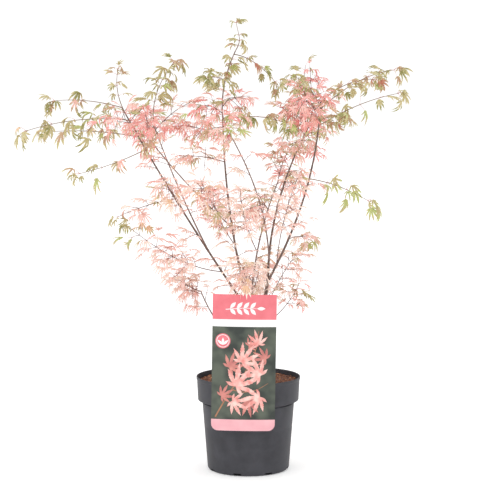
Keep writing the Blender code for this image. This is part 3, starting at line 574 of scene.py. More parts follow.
def add_piece(name, shape, surface, replaces=(), smooth_angle=None):
    """A piece of the plant from (vertices, faces) in millimetres, riding the one body."""
    vertices, faces = shape
    mesh = bpy.data.meshes.new(name)
    mesh.from_pydata([tuple(v * MM for v in vertex) for vertex in vertices], [], faces)
    mesh.validate()
    mesh.update()
    if smooth_angle:
        mesh.shade_smooth()
        mesh.set_sharp_from_angle(angle=radians(smooth_angle))
    mesh.materials.append(surface)
    piece = put_in_scene(name, mesh)
    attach(piece, BODY)
    if replaces:
        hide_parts(*replaces)
    return piece


def join_shapes(shapes):
    vertices, faces = [], []
    for shape_vertices, shape_faces in shapes:
        offset = len(vertices)
        vertices.extend(shape_vertices)
        faces.extend(tuple(offset + index for index in face) for face in shape_faces)
    return vertices, faces


def tree_of(shape):
    return BVHTree.FromPolygons([tuple(vertex) for vertex in shape[0]], shape[1])


def mix(low, high, share):
    return low + (high - low) * share


def around(side, other, count):
    """Directions round a ring, from side towards other."""
    for k in range(count):
        angle = 2 * pi * k / count
        yield side * cos(angle) + other * sin(angle)


def ring_faces(rings, sides, first=0):
    """The faces that join rings of vertices one after another."""
    faces = []
    for low in range(first, first + rings * sides, sides):
        for k in range(sides):
            after = (k + 1) % sides
            faces.append((low + k, low + after, low + sides + after, low + sides + k))
    return faces


def tube_faces(rings, sides):
    """Those of a tube with flat ends."""
    last = rings * sides
    ends = [tuple(reversed(range(sides))), tuple(range(last, last + sides))]
    return ring_faces(rings, sides) + ends


def grid_faces(columns, rows):
    """The faces of a grid whose vertices run down one column after another."""
    faces = []
    for column in range(columns):
        for row in range(rows):
            a = column * (rows + 1) + row
            b = a + rows + 1
            faces.append((a, a + 1, b + 1, b))
    return faces


def square_to(facing, side):
    """The part of side that is square to facing, and the direction square to both."""
    side = (side - facing * side.dot(facing)).normalized()
    return side, facing.cross(side)


def polar(radius, angle):
    return radius * cos(angle), radius * sin(angle)


def circle(radius, count):
    return [polar(radius, 2 * pi * k / count) for k in range(count)]


def run_at(points, index):
    """The direction of a line of points at one of them."""
    return (points[min(index + 1, len(points) - 1)] - points[max(index - 1, 0)]).normalized()


def tube(points, radii, sides, first_facing=None):
    """A closed tube with flat ends round a list of points."""
    vertices = []
    side = None
    for index, (point, radius) in enumerate(zip(points, radii)):
        facing = (not index and first_facing) or run_at(points, index)
        side, other = square_to(facing, side or facing.orthogonal())
        vertices += [point + out * radius for out in around(side, other, sides)]
    return vertices, tube_faces(len(points) - 1, sides)


def lathe(profile, sides):
    """Turn (radius, height) points round Z; a radius of 0 is a point on the axis."""
    vertices, rings = [], []
    for radius, height in profile:
        if radius == 0:
            rings.append([len(vertices)] * sides)
            vertices.append((0, 0, height))
            continue
        rings.append([len(vertices) + k for k in range(sides)])
        vertices += [(x, y, height) for x, y in circle(radius, sides)]
    faces = []
    for low, high in zip(rings, rings[1:]):
        for k in range(sides):
            after = (k + 1) % sides
            faces.append(tuple(dict.fromkeys((low[k], low[after], high[after], high[k]))))
    return vertices, faces


def rounded(points, steps=4):
    """A profile of (radius, height, rounding) points with each corner cut to its arc."""
    profile = []
    for index, (x, z, rounding) in enumerate(points):
        if not rounding or index in (0, len(points) - 1):
            profile.append((x, z))
            continue
        corner = Vector((x, z))
        before, after = (Vector(points[index + side][:2]) - corner for side in (-1, 1))
        reach = min(rounding, ROUND_MOST * before.length, ROUND_MOST * after.length)
        start = corner + before.normalized() * reach
        end = corner + after.normalized() * reach
        for k in range(steps + 1):
            t = k / steps
            profile.append(tuple(start.lerp(corner, t).lerp(corner.lerp(end, t), t)))
    return profile


# --- pot and compost ---
def body_radius(height):
    """The radius of the pot's body outside, between its base and its collar."""
    top = POT_HEIGHT - COLLAR_HEIGHT
    return mix(BASE_RADIUS, BODY_TOP_RADIUS, (height - BASE_ROUNDING) / (top - BASE_ROUNDING))


def build_pot():
    foot = POT_HEIGHT - COLLAR_HEIGHT
    ring = MOULD_RING_HEIGHT
    lip = POT_HEIGHT - LIP_HEIGHT
    profile = [
        (0, 0, 0),
        (BASE_RADIUS - BASE_ROUNDING, 0, 2),
        (BASE_RADIUS, BASE_ROUNDING, 2.5),
        (body_radius(ring - 1), ring - 1, 0),
        (body_radius(ring) - MOULD_RING_DEPTH, ring, 0.4),
        (body_radius(ring + 1), ring + 1, 0),
        (body_radius(foot - 5), foot - 5, 0),
        (body_radius(foot - 3.5) - UNDERCUT, foot - 3.5, 0.5),
        (BODY_TOP_RADIUS - UNDERCUT, foot, 0.5),
        (COLLAR_FOOT_RADIUS, foot, 1.4),
        (RIM_RADIUS - LIP_DEPTH, lip - 1, 1),
        (RIM_RADIUS, lip, 0.8),
        (RIM_RADIUS, POT_HEIGHT, 0.8),
        (RIM_RADIUS - POT_WALL, POT_HEIGHT, 0.7),
        (RIM_RADIUS - POT_WALL, POT_HEIGHT - 4, 0),
        (COLLAR_FOOT_RADIUS - POT_WALL, foot + POT_WALL, 1),
        (BODY_TOP_RADIUS - POT_WALL, foot - 2 * POT_WALL, 1),
        (BASE_RADIUS - POT_WALL, BASE_ROUNDING + POT_WALL, 2),
        (BASE_RADIUS - BASE_ROUNDING, POT_WALL, 0),
        (0, POT_WALL, 0),
    ]
    surface = textured_material(
        "slate_plastic", (60, 60, 64), (70, 70, 75), 26, (0.42, 0.56), 0.1
    )
    set_shader(surface, {"Specular IOR Level": POT_SHINE})
    shape = lathe(rounded(profile), POT_SIDES)
    pot = add_piece("nursery_pot", shape, surface, ["pot"], POT_SHARP)
    cut_notches(pot)
    pot.data.set_sharp_from_angle(angle=radians(POT_SHARP))


def cut_notches(pot):
    """Cut the drain notches round the bottom edge."""
    notches = bpy.data.collections.new("notches")
    bpy.context.scene.collection.children.link(notches)
    sized = Matrix.Diagonal((NOTCH_DEPTH * MM, NOTCH_WIDTH * MM, 2 * NOTCH_HEIGHT * MM, 1))
    for number in range(NOTCHES):
        angle = radians(FIRST_NOTCH_ANGLE + 360 * number / NOTCHES)
        place = Matrix.Translation((*polar(BASE_RADIUS * MM, angle), 0))
        turned = place @ Matrix.Rotation(angle, 4, "Z")
        work = bmesh.new()
        bmesh.ops.create_cube(work, size=1, matrix=turned @ sized)
        mesh = bpy.data.meshes.new("notch")
        work.to_mesh(mesh)
        work.free()
        notches.objects.link(bpy.data.objects.new("notch", mesh))
    modifier = pot.modifiers.new("notches", "BOOLEAN")
    modifier.operation = "DIFFERENCE"
    modifier.operand_type = "COLLECTION"
    modifier.collection = notches
    modifier.solver = "EXACT"
    graph = bpy.context.evaluated_depsgraph_get()
    pot.data = bpy.data.meshes.new_from_object(pot.evaluated_get(graph))
    pot.modifiers.clear()
    for cutter in list(notches.objects):
        bpy.data.objects.remove(cutter, do_unlink=True)
    bpy.data.collections.remove(notches)


def soil_height(x, y):
    """The compost's crumbled surface, lower towards the pot's wall."""
    start, width = SOIL_EDGE
    edge = max(0, (hypot(x, y) - start) / width)
    crumbs = sum(
        share * noise.noise(Vector((x / size, y / size, place))) for size, place, share in CRUMBS
    )
    return SOIL_LEVEL + SOIL_HEAP - SOIL_EDGE_DROP * edge ** 2 + CRUMB_HEIGHT * crumbs


def build_compost():
    outer = RIM_RADIUS - POT_WALL - SOIL_CLEAR
    profile = [(outer * k / SOIL_RINGS, 0) for k in range(SOIL_RINGS + 1)]
    vertices, faces = lathe(profile, SOIL_SIDES)
    vertices = [(x, y, soil_height(x, y)) for x, y, _ in vertices]
    faces += ring_faces(1, SOIL_SIDES, len(vertices) - SOIL_SIDES)
    inwards, depth = SOIL_SKIRT
    edge = vertices[-SOIL_SIDES:]
    vertices += [(inwards * x, inwards * y, SOIL_LEVEL - depth) for x, y, _ in edge]
    peat = textured_material("peat", (48, 30, 24), (128, 82, 60), 3.2, (0.85, 1), 0.9, detail=8)
    add_piece("peat", (vertices, faces), peat, ["compost"], SOIL_SHARP)
    rng = random.Random(SEED)
    chips = []
    for _ in range(CHIPS):
        radius = (outer - CHIP_MARGIN) * sqrt(rng.random())
        x, y = polar(radius, rng.uniform(0, 2 * pi))
        length = rng.uniform(*CHIP_LENGTH)
        spin = Matrix.Rotation(rng.uniform(0, 6.3), 3, "Z")
        turned = spin @ Matrix.Rotation(rng.uniform(-CHIP_TILT, CHIP_TILT), 3, "X")
        cuts = [length * rng.uniform(*spread) for spread in (CHIP_WIDTH, CHIP_DEPTH)]
        corners, sides = chip_shape(Vector((length, *cuts)), rng)
        middle = Vector((x, y, soil_height(x, y) + CHIP_LIFT))
        chips.append(([middle + turned @ corner for corner in corners], sides))
    pale = chips[::4]
    dark = [chip for number, chip in enumerate(chips) if number % 4]
    for name, pile, shade, look in (
        ("bark_chips", dark, "bark_chip", ((90, 54, 38), (160, 102, 70), 2.5, (0.8, 0.95), 0.5)),
        ("pale_chips", pale, "pale_chip", ((158, 104, 70), (206, 148, 104), 2.5, (0.75, 0.9), 0.5)),
    ):
        add_piece(name, join_shapes(pile), textured_material(shade, *look))


def chip_shape(size, rng):
    """A broken flake of bark: an uneven eight-cornered block."""
    corners = []
    for corner in product((-0.5, 0.5), repeat=3):
        jag = Vector([rng.uniform(*CHIP_JAG) for _ in range(3)])
        corners.append(Vector([share * length * j for share, length, j in zip(corner, size, jag)]))
    turns = ((0, 1, 3, 2), (4, 6, 7, 5), (0, 4, 5, 1), (2, 3, 7, 6), (0, 2, 6, 4), (1, 5, 7, 3))
    return corners, turns


# --- label ---
def card_point(across, down, lift):
    """A point of the bowed, rolled card: across from its middle, down from its top edge."""
    height = CARD_TOP - down - POT_HEIGHT
    sag = CARD_SAG * (across / (CARD_WIDTH / 2)) ** 2
    roll = radians(CARD_ROLL)
    x = across * cos(roll) + height * sin(roll) + CARD_CENTRE_X
    z = height * cos(roll) - across * sin(roll) + POT_HEIGHT
    return Vector((x, -RIM_RADIUS - GAP - CARD_THICKNESS + sag - lift, z))


def card_foot(across):
    """How far down the card reaches at a place across it, round its lower corners."""
    into = max(0, abs(across) - (CARD_WIDTH / 2 - CARD_CORNER))
    corner = CARD_CORNER - sqrt(max(CARD_CORNER**2 - into**2, 0))
    return CARD_TOP - CARD_BOTTOM - corner


def printed(places, faces, layer):
    """A flat print that lies so many layers of ink off the card."""
    return [card_point(*place, layer * PRINT_LAYER) for place in places], faces


def patch(top, foot, inset=0):
    """A band across the card as a grid, cut to the card's lower corners."""
    half = CARD_WIDTH / 2
    columns, rows = round(CARD_WIDTH / PATCH_CELL[0]), max(2, round((foot - top) / PATCH_CELL[1]))
    places = []
    for column in range(columns + 1):
        across = mix(-half, half, 0.5 - 0.5 * cos(pi * column / columns))
        low = min(foot, card_foot(across) - inset)
        places += [(across, mix(top, low, row / rows)) for row in range(rows + 1)]
    return printed(places, grid_faces(columns, rows), 1)


def disc(radius, layer, inner=0, rings=5, sides=40):
    """The badge's disc, or a ring when it has an inner radius."""
    across, down = BADGE
    places = []
    for ring in range(rings + 1):
        ends = circle(mix(inner, radius, ring / rings), sides)
        places += [(across + x, down + y) for x, y in ends]
    return printed(places, ring_faces(rings, sides), layer)


def printed_leaf(across, down, size, turn, layer):
    """A palmate leaf that points up and is turned by some degrees."""
    flat, straight = [0.02] * 7, [0] * 7
    shape = leaf_blade(SEVEN_LOBES, size, PRINTED_LOBE_WIDTH, flat, straight, 0, PRINTED_NOTCH)
    cosine, sine = polar(1, radians(turn))
    places = [
        (across - (v.y * cosine - v.x * sine), down - (v.y * sine + v.x * cosine))
        for v in shape.vertices
    ]
    return printed(places, shape.inner + shape.outer, layer)


def printed_drop(across, down, length, width, turn, layer):
    """A pointed oval that starts at a point and is turned by some degrees from upright."""
    turned = Matrix.Rotation(radians(turn), 2)
    places = []
    for k in range(DROP_STEPS + 1):
        half = 0.5 * width * max(0.05, sin(pi * k / DROP_STEPS))
        for side in (-half, half):
            place = turned @ Vector((side, -length * k / DROP_STEPS))
            places.append((across + place.x, down + place.y))
    return printed(places, grid_faces(DROP_STEPS, 1), layer)


def printed_twig(points, width, layer):
    """A twig through points across and down the card, in short steps."""
    line = [
        Vector(start).lerp(Vector(end), k / TWIG_CUTS)
        for start, end in zip(points, points[1:]) for k in range(TWIG_CUTS)
    ]
    line.append(Vector(points[-1]))
    places = []
    for index, (across, down) in enumerate(line):
        run = run_at(line, index)
        thin = width * (1 - TWIG_THINS * index / (len(line) - 1)) / 2
        for sign in (-1, 1):
            places.append((across - sign * run.y * thin, down + sign * run.x * thin))
    return printed(places, grid_faces(len(line) - 1, 1), layer)


def card_body():
    """The card itself: front and back skins with an edge between them."""
    columns, rows = CARD_GRID
    vertices = []
    for lift in (0, -CARD_THICKNESS):
        for column in range(columns + 1):
            across = -CARD_WIDTH / 2 * cos(pi * column / columns)
            for row in range(rows + 1):
                vertices.append(card_point(across, card_foot(across) * row / rows, lift))
    front = grid_faces(columns, rows)
    count = len(vertices) // 2
    faces = front + [(count + a, count + d, count + c, count + b) for a, b, c, d in front]
    rim = [column * (rows + 1) for column in range(columns)]
    rim += [columns * (rows + 1) + row for row in range(rows)]
    rim += [column * (rows + 1) + rows for column in range(columns, 0, -1)]
    rim += range(rows, 0, -1)
    faces += [(a, b, count + b, count + a) for a, b in zip(rim, rim[1:] + rim[:1])]
    return vertices, faces


def tongue_body():
    """The strip that carries the card over the rim and down inside the pot."""
    over = POT_HEIGHT + TONGUE_CLEAR
    outer, inner = -RIM_RADIUS - TONGUE_HALF_DEPTH, -RIM_RADIUS + POT_WALL + TONGUE_INSIDE
    corners = [(outer, over, TONGUE_ROUNDING), (inner, over, TONGUE_ROUNDING)]
    path = [(outer, over - TONGUE_LAP, 0), *corners, (inner, SOIL_LEVEL - 1, 0)]
    line = [Vector(point) for point in rounded(path, 6)]
    half, thick = TONGUE_WIDTH / 2, TONGUE_HALF_DEPTH
    vertices = []
    for index, (y, z) in enumerate(line):
        run = run_at(line, index)
        for x, off in ((-half, -thick), (-half, thick), (half, thick), (half, -thick)):
            vertices.append(Vector((x + CARD_CENTRE_X, y - run.y * off, z + run.x * off)))
    return vertices, tube_faces(len(line) - 1, 4)


def build_label():
    looks = {}
    for name, (*look, detail) in PRINTS.items():
        made = textured_material(name, *look, PRINT_BUMP, detail=detail)
        looks[name] = set_shader(made, VARNISH)
    twigs = [printed_twig(*twig, 3) for twig in ((MAIN_TWIG, 2.6), (SIDE_TWIG, 1.8))]
    back = [printed_leaf(*leaf, 3) for leaf in BACK_LEAVES]
    front = [printed_leaf(*leaf, 4 + k) for k, leaf in enumerate(FRONT_LEAVES)]
    crest = [printed_drop(BADGE[0], 91, 13, 4.5, turn, 4) for turn in (-48, 0, 48)]
    crest.append(printed_twig(((-34, 27), (0, 24), (22, 25)), 1.4, 2))
    for across, turn in (*product((-26, -14, -2, 10), (42, 138)), (22, 90)):
        crest.append(printed_drop(across, SPRIG_LINE, 15, 6.5, turn, 2))
    for name, look, shape, smooth_angle in (
        ("card", "card", card_body(), CARD_SHARP),
        ("tongue", "card", tongue_body(), CARD_SHARP),
        ("header", "print_pink", patch(0, HEADER_FOOT), CARD_SHARP),
        ("stripe", "print_white", patch(HEADER_FOOT, STRIPE_FOOT), CARD_SHARP),
        ("panel", "print_dusk", patch(STRIPE_FOOT, PANEL_FOOT), CARD_SHARP),
        ("foot", "print_foot", patch(PANEL_FOOT, CARD_TOP - CARD_BOTTOM, 0.05), CARD_SHARP),
        ("twigs", "print_bark", join_shapes(twigs), None),
        ("back_leaves", "print_shade", join_shapes(back), None),
        ("front_leaves", "print_petal", join_shapes(front), None),
        ("badge", "print_pink", disc(BADGE_RADII[0], 3), None),
        ("badge_ring", "print_white", disc(BADGE_RADII[1], 4, BADGE_RADII[2]), None),
        ("crest", "print_white", join_shapes(crest), None),
    ):
        replaced = ["label"] if name == "card" else ()
        add_piece(f"label_{name}", shape, looks[look], replaced, smooth_angle)


# --- stems ---
class Stem:
    """The source's limb or twig, on a quadratic curve from its parent's axis to its tip."""

    def __init__(self, start, tip, bow, base_radius, tip_radius, sides, step):
        self.start, self.tip, self.bow = Vector(start), Vector(tip), Vector(bow)
        self.base_radius, self.tip_radius = base_radius, tip_radius
        self.sides, self.step = sides, step
        self.length = (self.tip - self.start).length
        self.begin = self.flare = 0
        self.first_facing = self.parent_radius = None

    def point(self, share):
        return self.start.lerp(self.tip, share) + self.bow * (4 * share * (1 - share))

    def direction(self, share):
        return ((self.tip - self.start) + self.bow * (4 * (1 - 2 * share))).normalized()

    def radius(self, share):
        taper = mix(self.base_radius, self.tip_radius, share)
        return taper + self.flare * exp(-share * self.length / FLARE_HEIGHT)

    def leave(self, parent, share, siblings=()):
        """Start 0.3 mm clear of the parent: on its end face, or beside it at a fork."""
        self.parent_radius = parent.radius(min(share, 1))
        if share >= 1:
            self.first_facing = parent.direction(1)
            self.start = parent.tip + self.first_facing * GAP
            return
        solids = [tree_of(stem.shape()) for stem in (parent, *siblings)]
        while any(tree_of(self.shape(grow=GAP)).overlap(solid) for solid in solids):
            self.begin += GAP / self.length
        self.begin += GAP / self.length

    def shares(self):
        steps = max(2, round(self.length * (1 - self.begin) / self.step))
        shares = [self.begin + (1 - self.begin) * k / steps for k in range(steps + 1)]
        if self.flare:
            shares[1:1] = FLARE_SHARES
        return shares

    def axis(self, share):
        """The point at a share of the stem, on the axis of its facet."""
        if share >= 1:
            return self.tip.copy()
        shares = self.shares()
        low, high = next(pair for pair in zip(shares, shares[1:]) if share <= pair[1])
        return self.point(low).lerp(self.point(high), (share - low) / (high - low))

    def shape(self, grow=0):
        shares = self.shares()
        points = [self.point(share) for share in shares]
        radii = [self.radius(share) + grow for share in shares]
        return tube(points, radii, self.sides, self.first_facing)


def grow_limbs():
    """Every limb's stem by name, where the source has it."""
    mesh = (LIMB_SIDES, LIMB_STEP)
    trunk = Stem((*TRUNK_FOOT, SOIL_LEVEL + GAP), *TRUNK[2:], *mesh)
    trunk.flare = TRUNK_FLARE
    trunk.first_facing = UP
    stems, beside = {"trunk": trunk}, defaultdict(list)
    for name, limb in LIMBS.items():
        parent = stems[limb.parent]
        stem = Stem(parent.axis(limb.share), *limb[2:], *mesh)
        stem.leave(parent, limb.share, beside[limb.parent])
        beside[limb.parent].append(stem)
        stems[name] = stem
    return stems


def mass_stems(limbs):
    """Each mass's stem, where the source has it."""
    rng = random.Random(SEED)
    placed = [tree_of(limb.shape()) for limb in limbs.values()]
    rule = (MASS_STEM_RADIUS, MASS_TIP_RADIUS, TWIG_SIDES, TWIG_STEP)
    stems = {}
    for name, mass in MASSES.items():
        carrier = limbs[mass.carrier]
        nudge = Vector((0, 0, 0))
        for _ in range(NUDGES):
            stem = Stem(carrier.axis(mass.share), mass.tip, Vector(mass.bow) + nudge, *rule)
            stem.leave(carrier, mass.share)
            tree = tree_of(stem.shape(grow=0.5 * GAP))
            if not any(tree.overlap(other) for other in placed):
                break
            nudge = stray(rng, NUDGE)
        stems[name] = stem
        placed.append(tree_of(stem.shape(grow=CLEARANCE)))
    return stems


def stray(rng, most):
    return Vector([rng.uniform(-most, most) for _ in range(3)])


def bark_shape(stem, salt):
    """A limb with bark relief, bud rings and a swollen fork, sunk into its parent."""
    sunk = -FORK_SUNK / stem.length if stem.first_facing and not stem.flare else 0
    rings = max(4, round(stem.length / BARK_STEP))
    width = stem.radius(0.5) * GRAIN_RATE[0] / BARK_GRAIN[0]
    vertices = []
    side = stem.direction(0).orthogonal()
    for ring in range(rings + 1):
        share = mix(sunk, 1, ring / rings)
        along = share * stem.length
        centre, facing = stem.point(share), stem.direction(share)
        if ring == 0 and stem.flare:
            facing = UP
        side, other = square_to(facing, side)
        radius = stem.radius(max(share, 0))
        if stem.parent_radius:
            swell = (stem.parent_radius - radius) if stem.first_facing else FORK_SWELL * radius
            radius += swell * exp(-max(along, 0) / FORK_FADE)
        from_bud = (along + salt * BUD_SHIFT) % BUD_SPACING - BUD_SPACING / 2
        radius *= 1 + BUD_SWELL * exp(-((from_bud / BUD_WIDTH) ** 2))
        for out in around(side, other, BARK_SIDES):
            place = out * width + Vector((salt, salt, along * GRAIN_RATE[1] / BARK_GRAIN[1]))
            relief = noise.noise(place) + 0.5 * noise.noise(place * FINE_GRAIN)
            vertices.append(centre + out * radius * (1 + BARK_RELIEF * relief))
    return vertices, tube_faces(rings, BARK_SIDES)


def build_stems(limbs):
    old = [name for name, stem in limbs.items() if stem.base_radius > OLD_BARK_RADIUS]
    young = [name for name in limbs if name not in old]
    grain = (1, 1, 0.3)
    for age, names, slot, look in (
        ("old", old, "bark", ((80, 63, 57), (136, 112, 101), 2.6, (0.6, 0.8), 0.5)),
        ("young", young, "young_bark", ((112, 90, 84), (158, 134, 125), 2.2, (0.5, 0.7), 0.35)),
    ):
        surface = textured_material(f"{age}_bark", *look, grain)
        shapes = [bark_shape(limbs[name], 3 * list(limbs).index(name)) for name in names]
        add_piece(f"stems_{age}", join_shapes(shapes), surface, names, BARK_SHARP)


# --- leaves ---
Blade = namedtuple("Blade", "vertices inner outer")


def leaf_blade(form, size, width, bends, twists, fold, notch=NOTCH_SHARE):
    """A palmate blade in its own frame: midrib along +X, face up +Z, centre at the origin.

    Each lobe bends down by its own angle over its length, twists along it and folds up
    a little on both sides of its midline, and is toothed.  Neighbours share a notch.
    """
    lobes = [(-angle, share) for angle, share in reversed(form[1:])] + list(form)
    count = len(lobes)
    vertices = [Vector((0, 0, 0))]
    inner, outer = [], []

    def add(point):
        vertices.append(point)
        return len(vertices) - 1

    def on_ray(angle, reach, bend):
        """A point at a reach along a bent ray, with the ray's direction and normal there."""
        curve = bend / size
        turn = curve * reach
        out = Vector((cos(angle), sin(angle), 0))
        point = out * (sin(turn) / curve) - UP * ((1 - cos(turn)) / curve)
        ahead = out * cos(turn) - UP * sin(turn)
        return point, ahead, out * sin(turn) + UP * cos(turn)

    notches = []
    for index in range(count + 1):
        if index in (0, count):
            end = min(index, count - 1)
            angle = lobes[end][0] + copysign(LAST_EDGE[0], index - 1)
            reach, bend = LAST_EDGE[1], bends[end]
        else:
            before, after = lobes[index - 1], lobes[index]
            angle = 0.5 * (before[0] + after[0])
            reach = notch * 0.5 * (before[1] + after[1])
            bend = 0.5 * (bends[index - 1] + bends[index])
        point, _, up = on_ray(radians(angle), reach * size, bend)
        notches.append(add(point + up * (NOTCH_RISE * size * sin(fold))))
    for index, (degrees, share) in enumerate(lobes):
        angle = radians(degrees)
        reach, bend = share * size, bends[index]
        middle = [0, add(on_ray(angle, notch * reach, bend)[0])]
        lefts, rights = [notches[index]], [notches[index + 1]]
        for along, half_share in LOBE_EDGE:
            point, out, up = on_ray(angle, along * reach, bend)
            across = up.cross(out)
            turn = twists[index] * along
            spread = across * cos(turn) + up * sin(turn)
            raised = up * cos(turn) - across * sin(turn)
            half = half_share * width * size * (LOBE_TAPER[0] + LOBE_TAPER[1] * share)
            rise = raised * (half * sin(fold))
            middle.append(add(point))
            lefts.append(add(point - spread * (half * cos(fold)) + rise))
            rights.append(add(point + spread * (half * cos(fold)) + rise))
        tip = add(on_ray(angle, reach, bend)[0])
        inner += [(0, lefts[0], middle[1]), (0, middle[1], rights[0])]
        for k in range(len(LOBE_EDGE)):
            faces = inner if k < INNER_STATIONS else outer
            faces.append((middle[k + 1], lefts[k], lefts[k + 1], middle[k + 2]))
            faces.append((middle[k + 1], middle[k + 2], rights[k + 1], rights[k]))
        outer += [(middle[-1], lefts[-1], tip), (middle[-1], tip, rights[-1])]
    return Blade(vertices, inner, outer)


class Canopy:
    """Everything the masses grow: leaves by colour, and twigs, shoots and stalks."""

    def __init__(self):
        self.leaves, self.wood, self.cells = (defaultdict(list) for _ in range(3))

    def cell(self, point):
        return tuple(floor(value / LEAF_SPACING) for value in point)

    def crowded(self, point):
        x, y, z = self.cell(point)
        return any(
            (other - point).length < LEAF_SPACING
            for dx, dy, dz in product((-1, 0, 1), repeat=3)
            for other in self.cells.get((x + dx, y + dy, z + dz), ())
        )


# What a spray grows by: a habit, a palette, a blade's length, how far apart its leaves
# stand, a stream of random numbers and a test of whether a point is in its space.
Rule = namedtuple("Rule", "habit dealt blade spacing rng in_space")


def pair_directions(axis, turn):
    """Two opposite directions that lean away from the axis, turned about it."""
    side = axis.cross(UP)
    if side.length < STEEP:
        side = Vector((1, 0, 0))
    side.normalize()
    out = side * cos(turn) + axis.cross(side) * sin(turn)
    lean = radians(PAIR_ANGLE)
    return [axis * cos(lean) + out * (sign * sin(lean)) for sign in (1, -1)]


def deal(rule):
    """A spray's inner and outer colour."""
    entries = PALETTES[rule.dealt]
    pick = rule.rng.uniform(0, sum(entry[0] for entry in entries))
    for weight, *colours in entries:
        pick -= weight
        if pick <= 0:
            break
    return colours


def off_limits(point):
    """Whether it is in the card or the pot, or past the solids' box."""
    x, y, z = point
    above, beside, before, behind = CARD_ROOM
    if z < CARD_TOP + above and abs(x - CARD_CENTRE_X) < CARD_WIDTH / 2 + beside:
        if -RIM_RADIUS - before < y < -RIM_RADIUS + behind:
            return True
    if z < POT_HEIGHT + POT_ROOM[0] and hypot(x, y) < RIM_RADIUS + POT_ROOM[1]:
        return True
    return any(
        not low / MM - BOX_MARGIN <= value <= high / MM + BOX_MARGIN
        for value, low, high in zip(point, *CAD_BOX)
    )


def grow_leaf(canopy, rule, root, direction, colours, scale=1):
    """A stalk and its blade: it may turn a few times before it is skipped."""
    habit, rng = rule.habit, rule.rng
    for _ in range(TRIES):
        size = scale * rule.blade * rng.uniform(*BLADE_SPREAD)
        stalk = (direction + stray(rng, DIRECTION_SWAY)).normalized()
        if stalk.z > HIGHEST_RISE:
            stalk = Vector((stalk.x, stalk.y, HIGHEST_RISE)).normalized()
        base = root + stalk * (size * rng.uniform(*STALK_SHARE))
        midrib = (stalk - Vector((0, 0, rng.uniform(*habit.dip)))).normalized()
        tilts = [rng.uniform(-habit.tilt, habit.tilt) for _ in range(2)]
        normal, _ = square_to(midrib, Vector((*tilts, 1)))
        middle, tip = (base + midrib * (share * size) for share in BLADE_PROBES)
        if any(map(off_limits, (base, middle, tip))) or not rule.in_space(middle):
            continue
        if canopy.crowded(middle):
            continue
        canopy.cells[canopy.cell(middle)].append(middle)
        closed = rng.uniform(*habit.open)
        lobes = SEVEN_LOBES if rng.random() < habit.seven else FIVE_LOBES
        form = [(closed * angle, length) for angle, length in lobes]
        count = 2 * len(form) - 1
        bend = rng.uniform(*habit.bend)
        bends = [max(LEAST_BEND, bend * rng.uniform(*BEND_SPREAD)) for _ in range(count)]
        twists = [rng.uniform(-habit.twist, habit.twist) for _ in range(count)]
        shape = leaf_blade(form, size, habit.width, bends, twists, rng.uniform(*habit.fold))
        turned = Matrix((midrib, normal.cross(midrib), normal)).transposed()
        placed = [base + turned @ vertex for vertex in shape.vertices]
        canopy.leaves[colours[0]].append((placed, shape.inner))
        canopy.leaves[colours[1]].append((placed, shape.outer))
        sag = (base - root).length * STALK_SAG
        arc = [root.lerp(base, k / 3) + UP * (sag * sin(pi * k / 3)) for k in range(4)]
        radii = [taper * STALK_RADIUS for taper in STALK_TAPER]
        canopy.wood["stalks"].append(tube(arc, radii, 4))
        break


def grow_leaves(canopy, rule, root, directions, scale):
    """Leaves that are each dealt their own colours."""
    for direction in directions:
        grow_leaf(canopy, rule, root, direction, deal(rule), scale)


def grow_twig(canopy, rule, kind, root, direction, reach):
    """A spray: a side twig of one colour with pairs of leaves and one at its tip."""
    rng = rule.rng
    for _ in range(TRIES):
        axis = (direction + stray(rng, DIRECTION_SWAY)).normalized()
        tip = root + axis * (reach * rng.uniform(*REACH_SPREAD))
        if rule.in_space(tip) and not off_limits(tip):
            break
    else:
        return False
    length = (tip - root).length

    def point(k):
        """A point of the twig's arc, at so many of its parts."""
        share = k / TWIG_PARTS
        return root.lerp(tip, share) + UP * (4 * (TWIG_RISE * length) * share * (1 - share))

    radii = [mix(*TWIG_RADII, k / 6) for k in range(7)]
    canopy.wood[kind].append(tube([point(4 * k) for k in range(7)], radii, 5))
    colours = deal(rule)
    pairs = max(1, round(length / (rule.habit.twig_step * rule.spacing)) - 1)
    turn = rng.uniform(-PAIR_TURN, PAIR_TURN)
    for number in range(pairs):
        part = round(TWIG_PARTS * (number + 1) / (pairs + LAST_FORK))
        fork = point(min(TWIG_PARTS, part))
        for way in pair_directions(axis, turn + (number % 2) * pi / 2):
            grow_leaf(canopy, rule, fork, way, colours)
    grow_leaf(canopy, rule, tip, axis, colours)
    return True


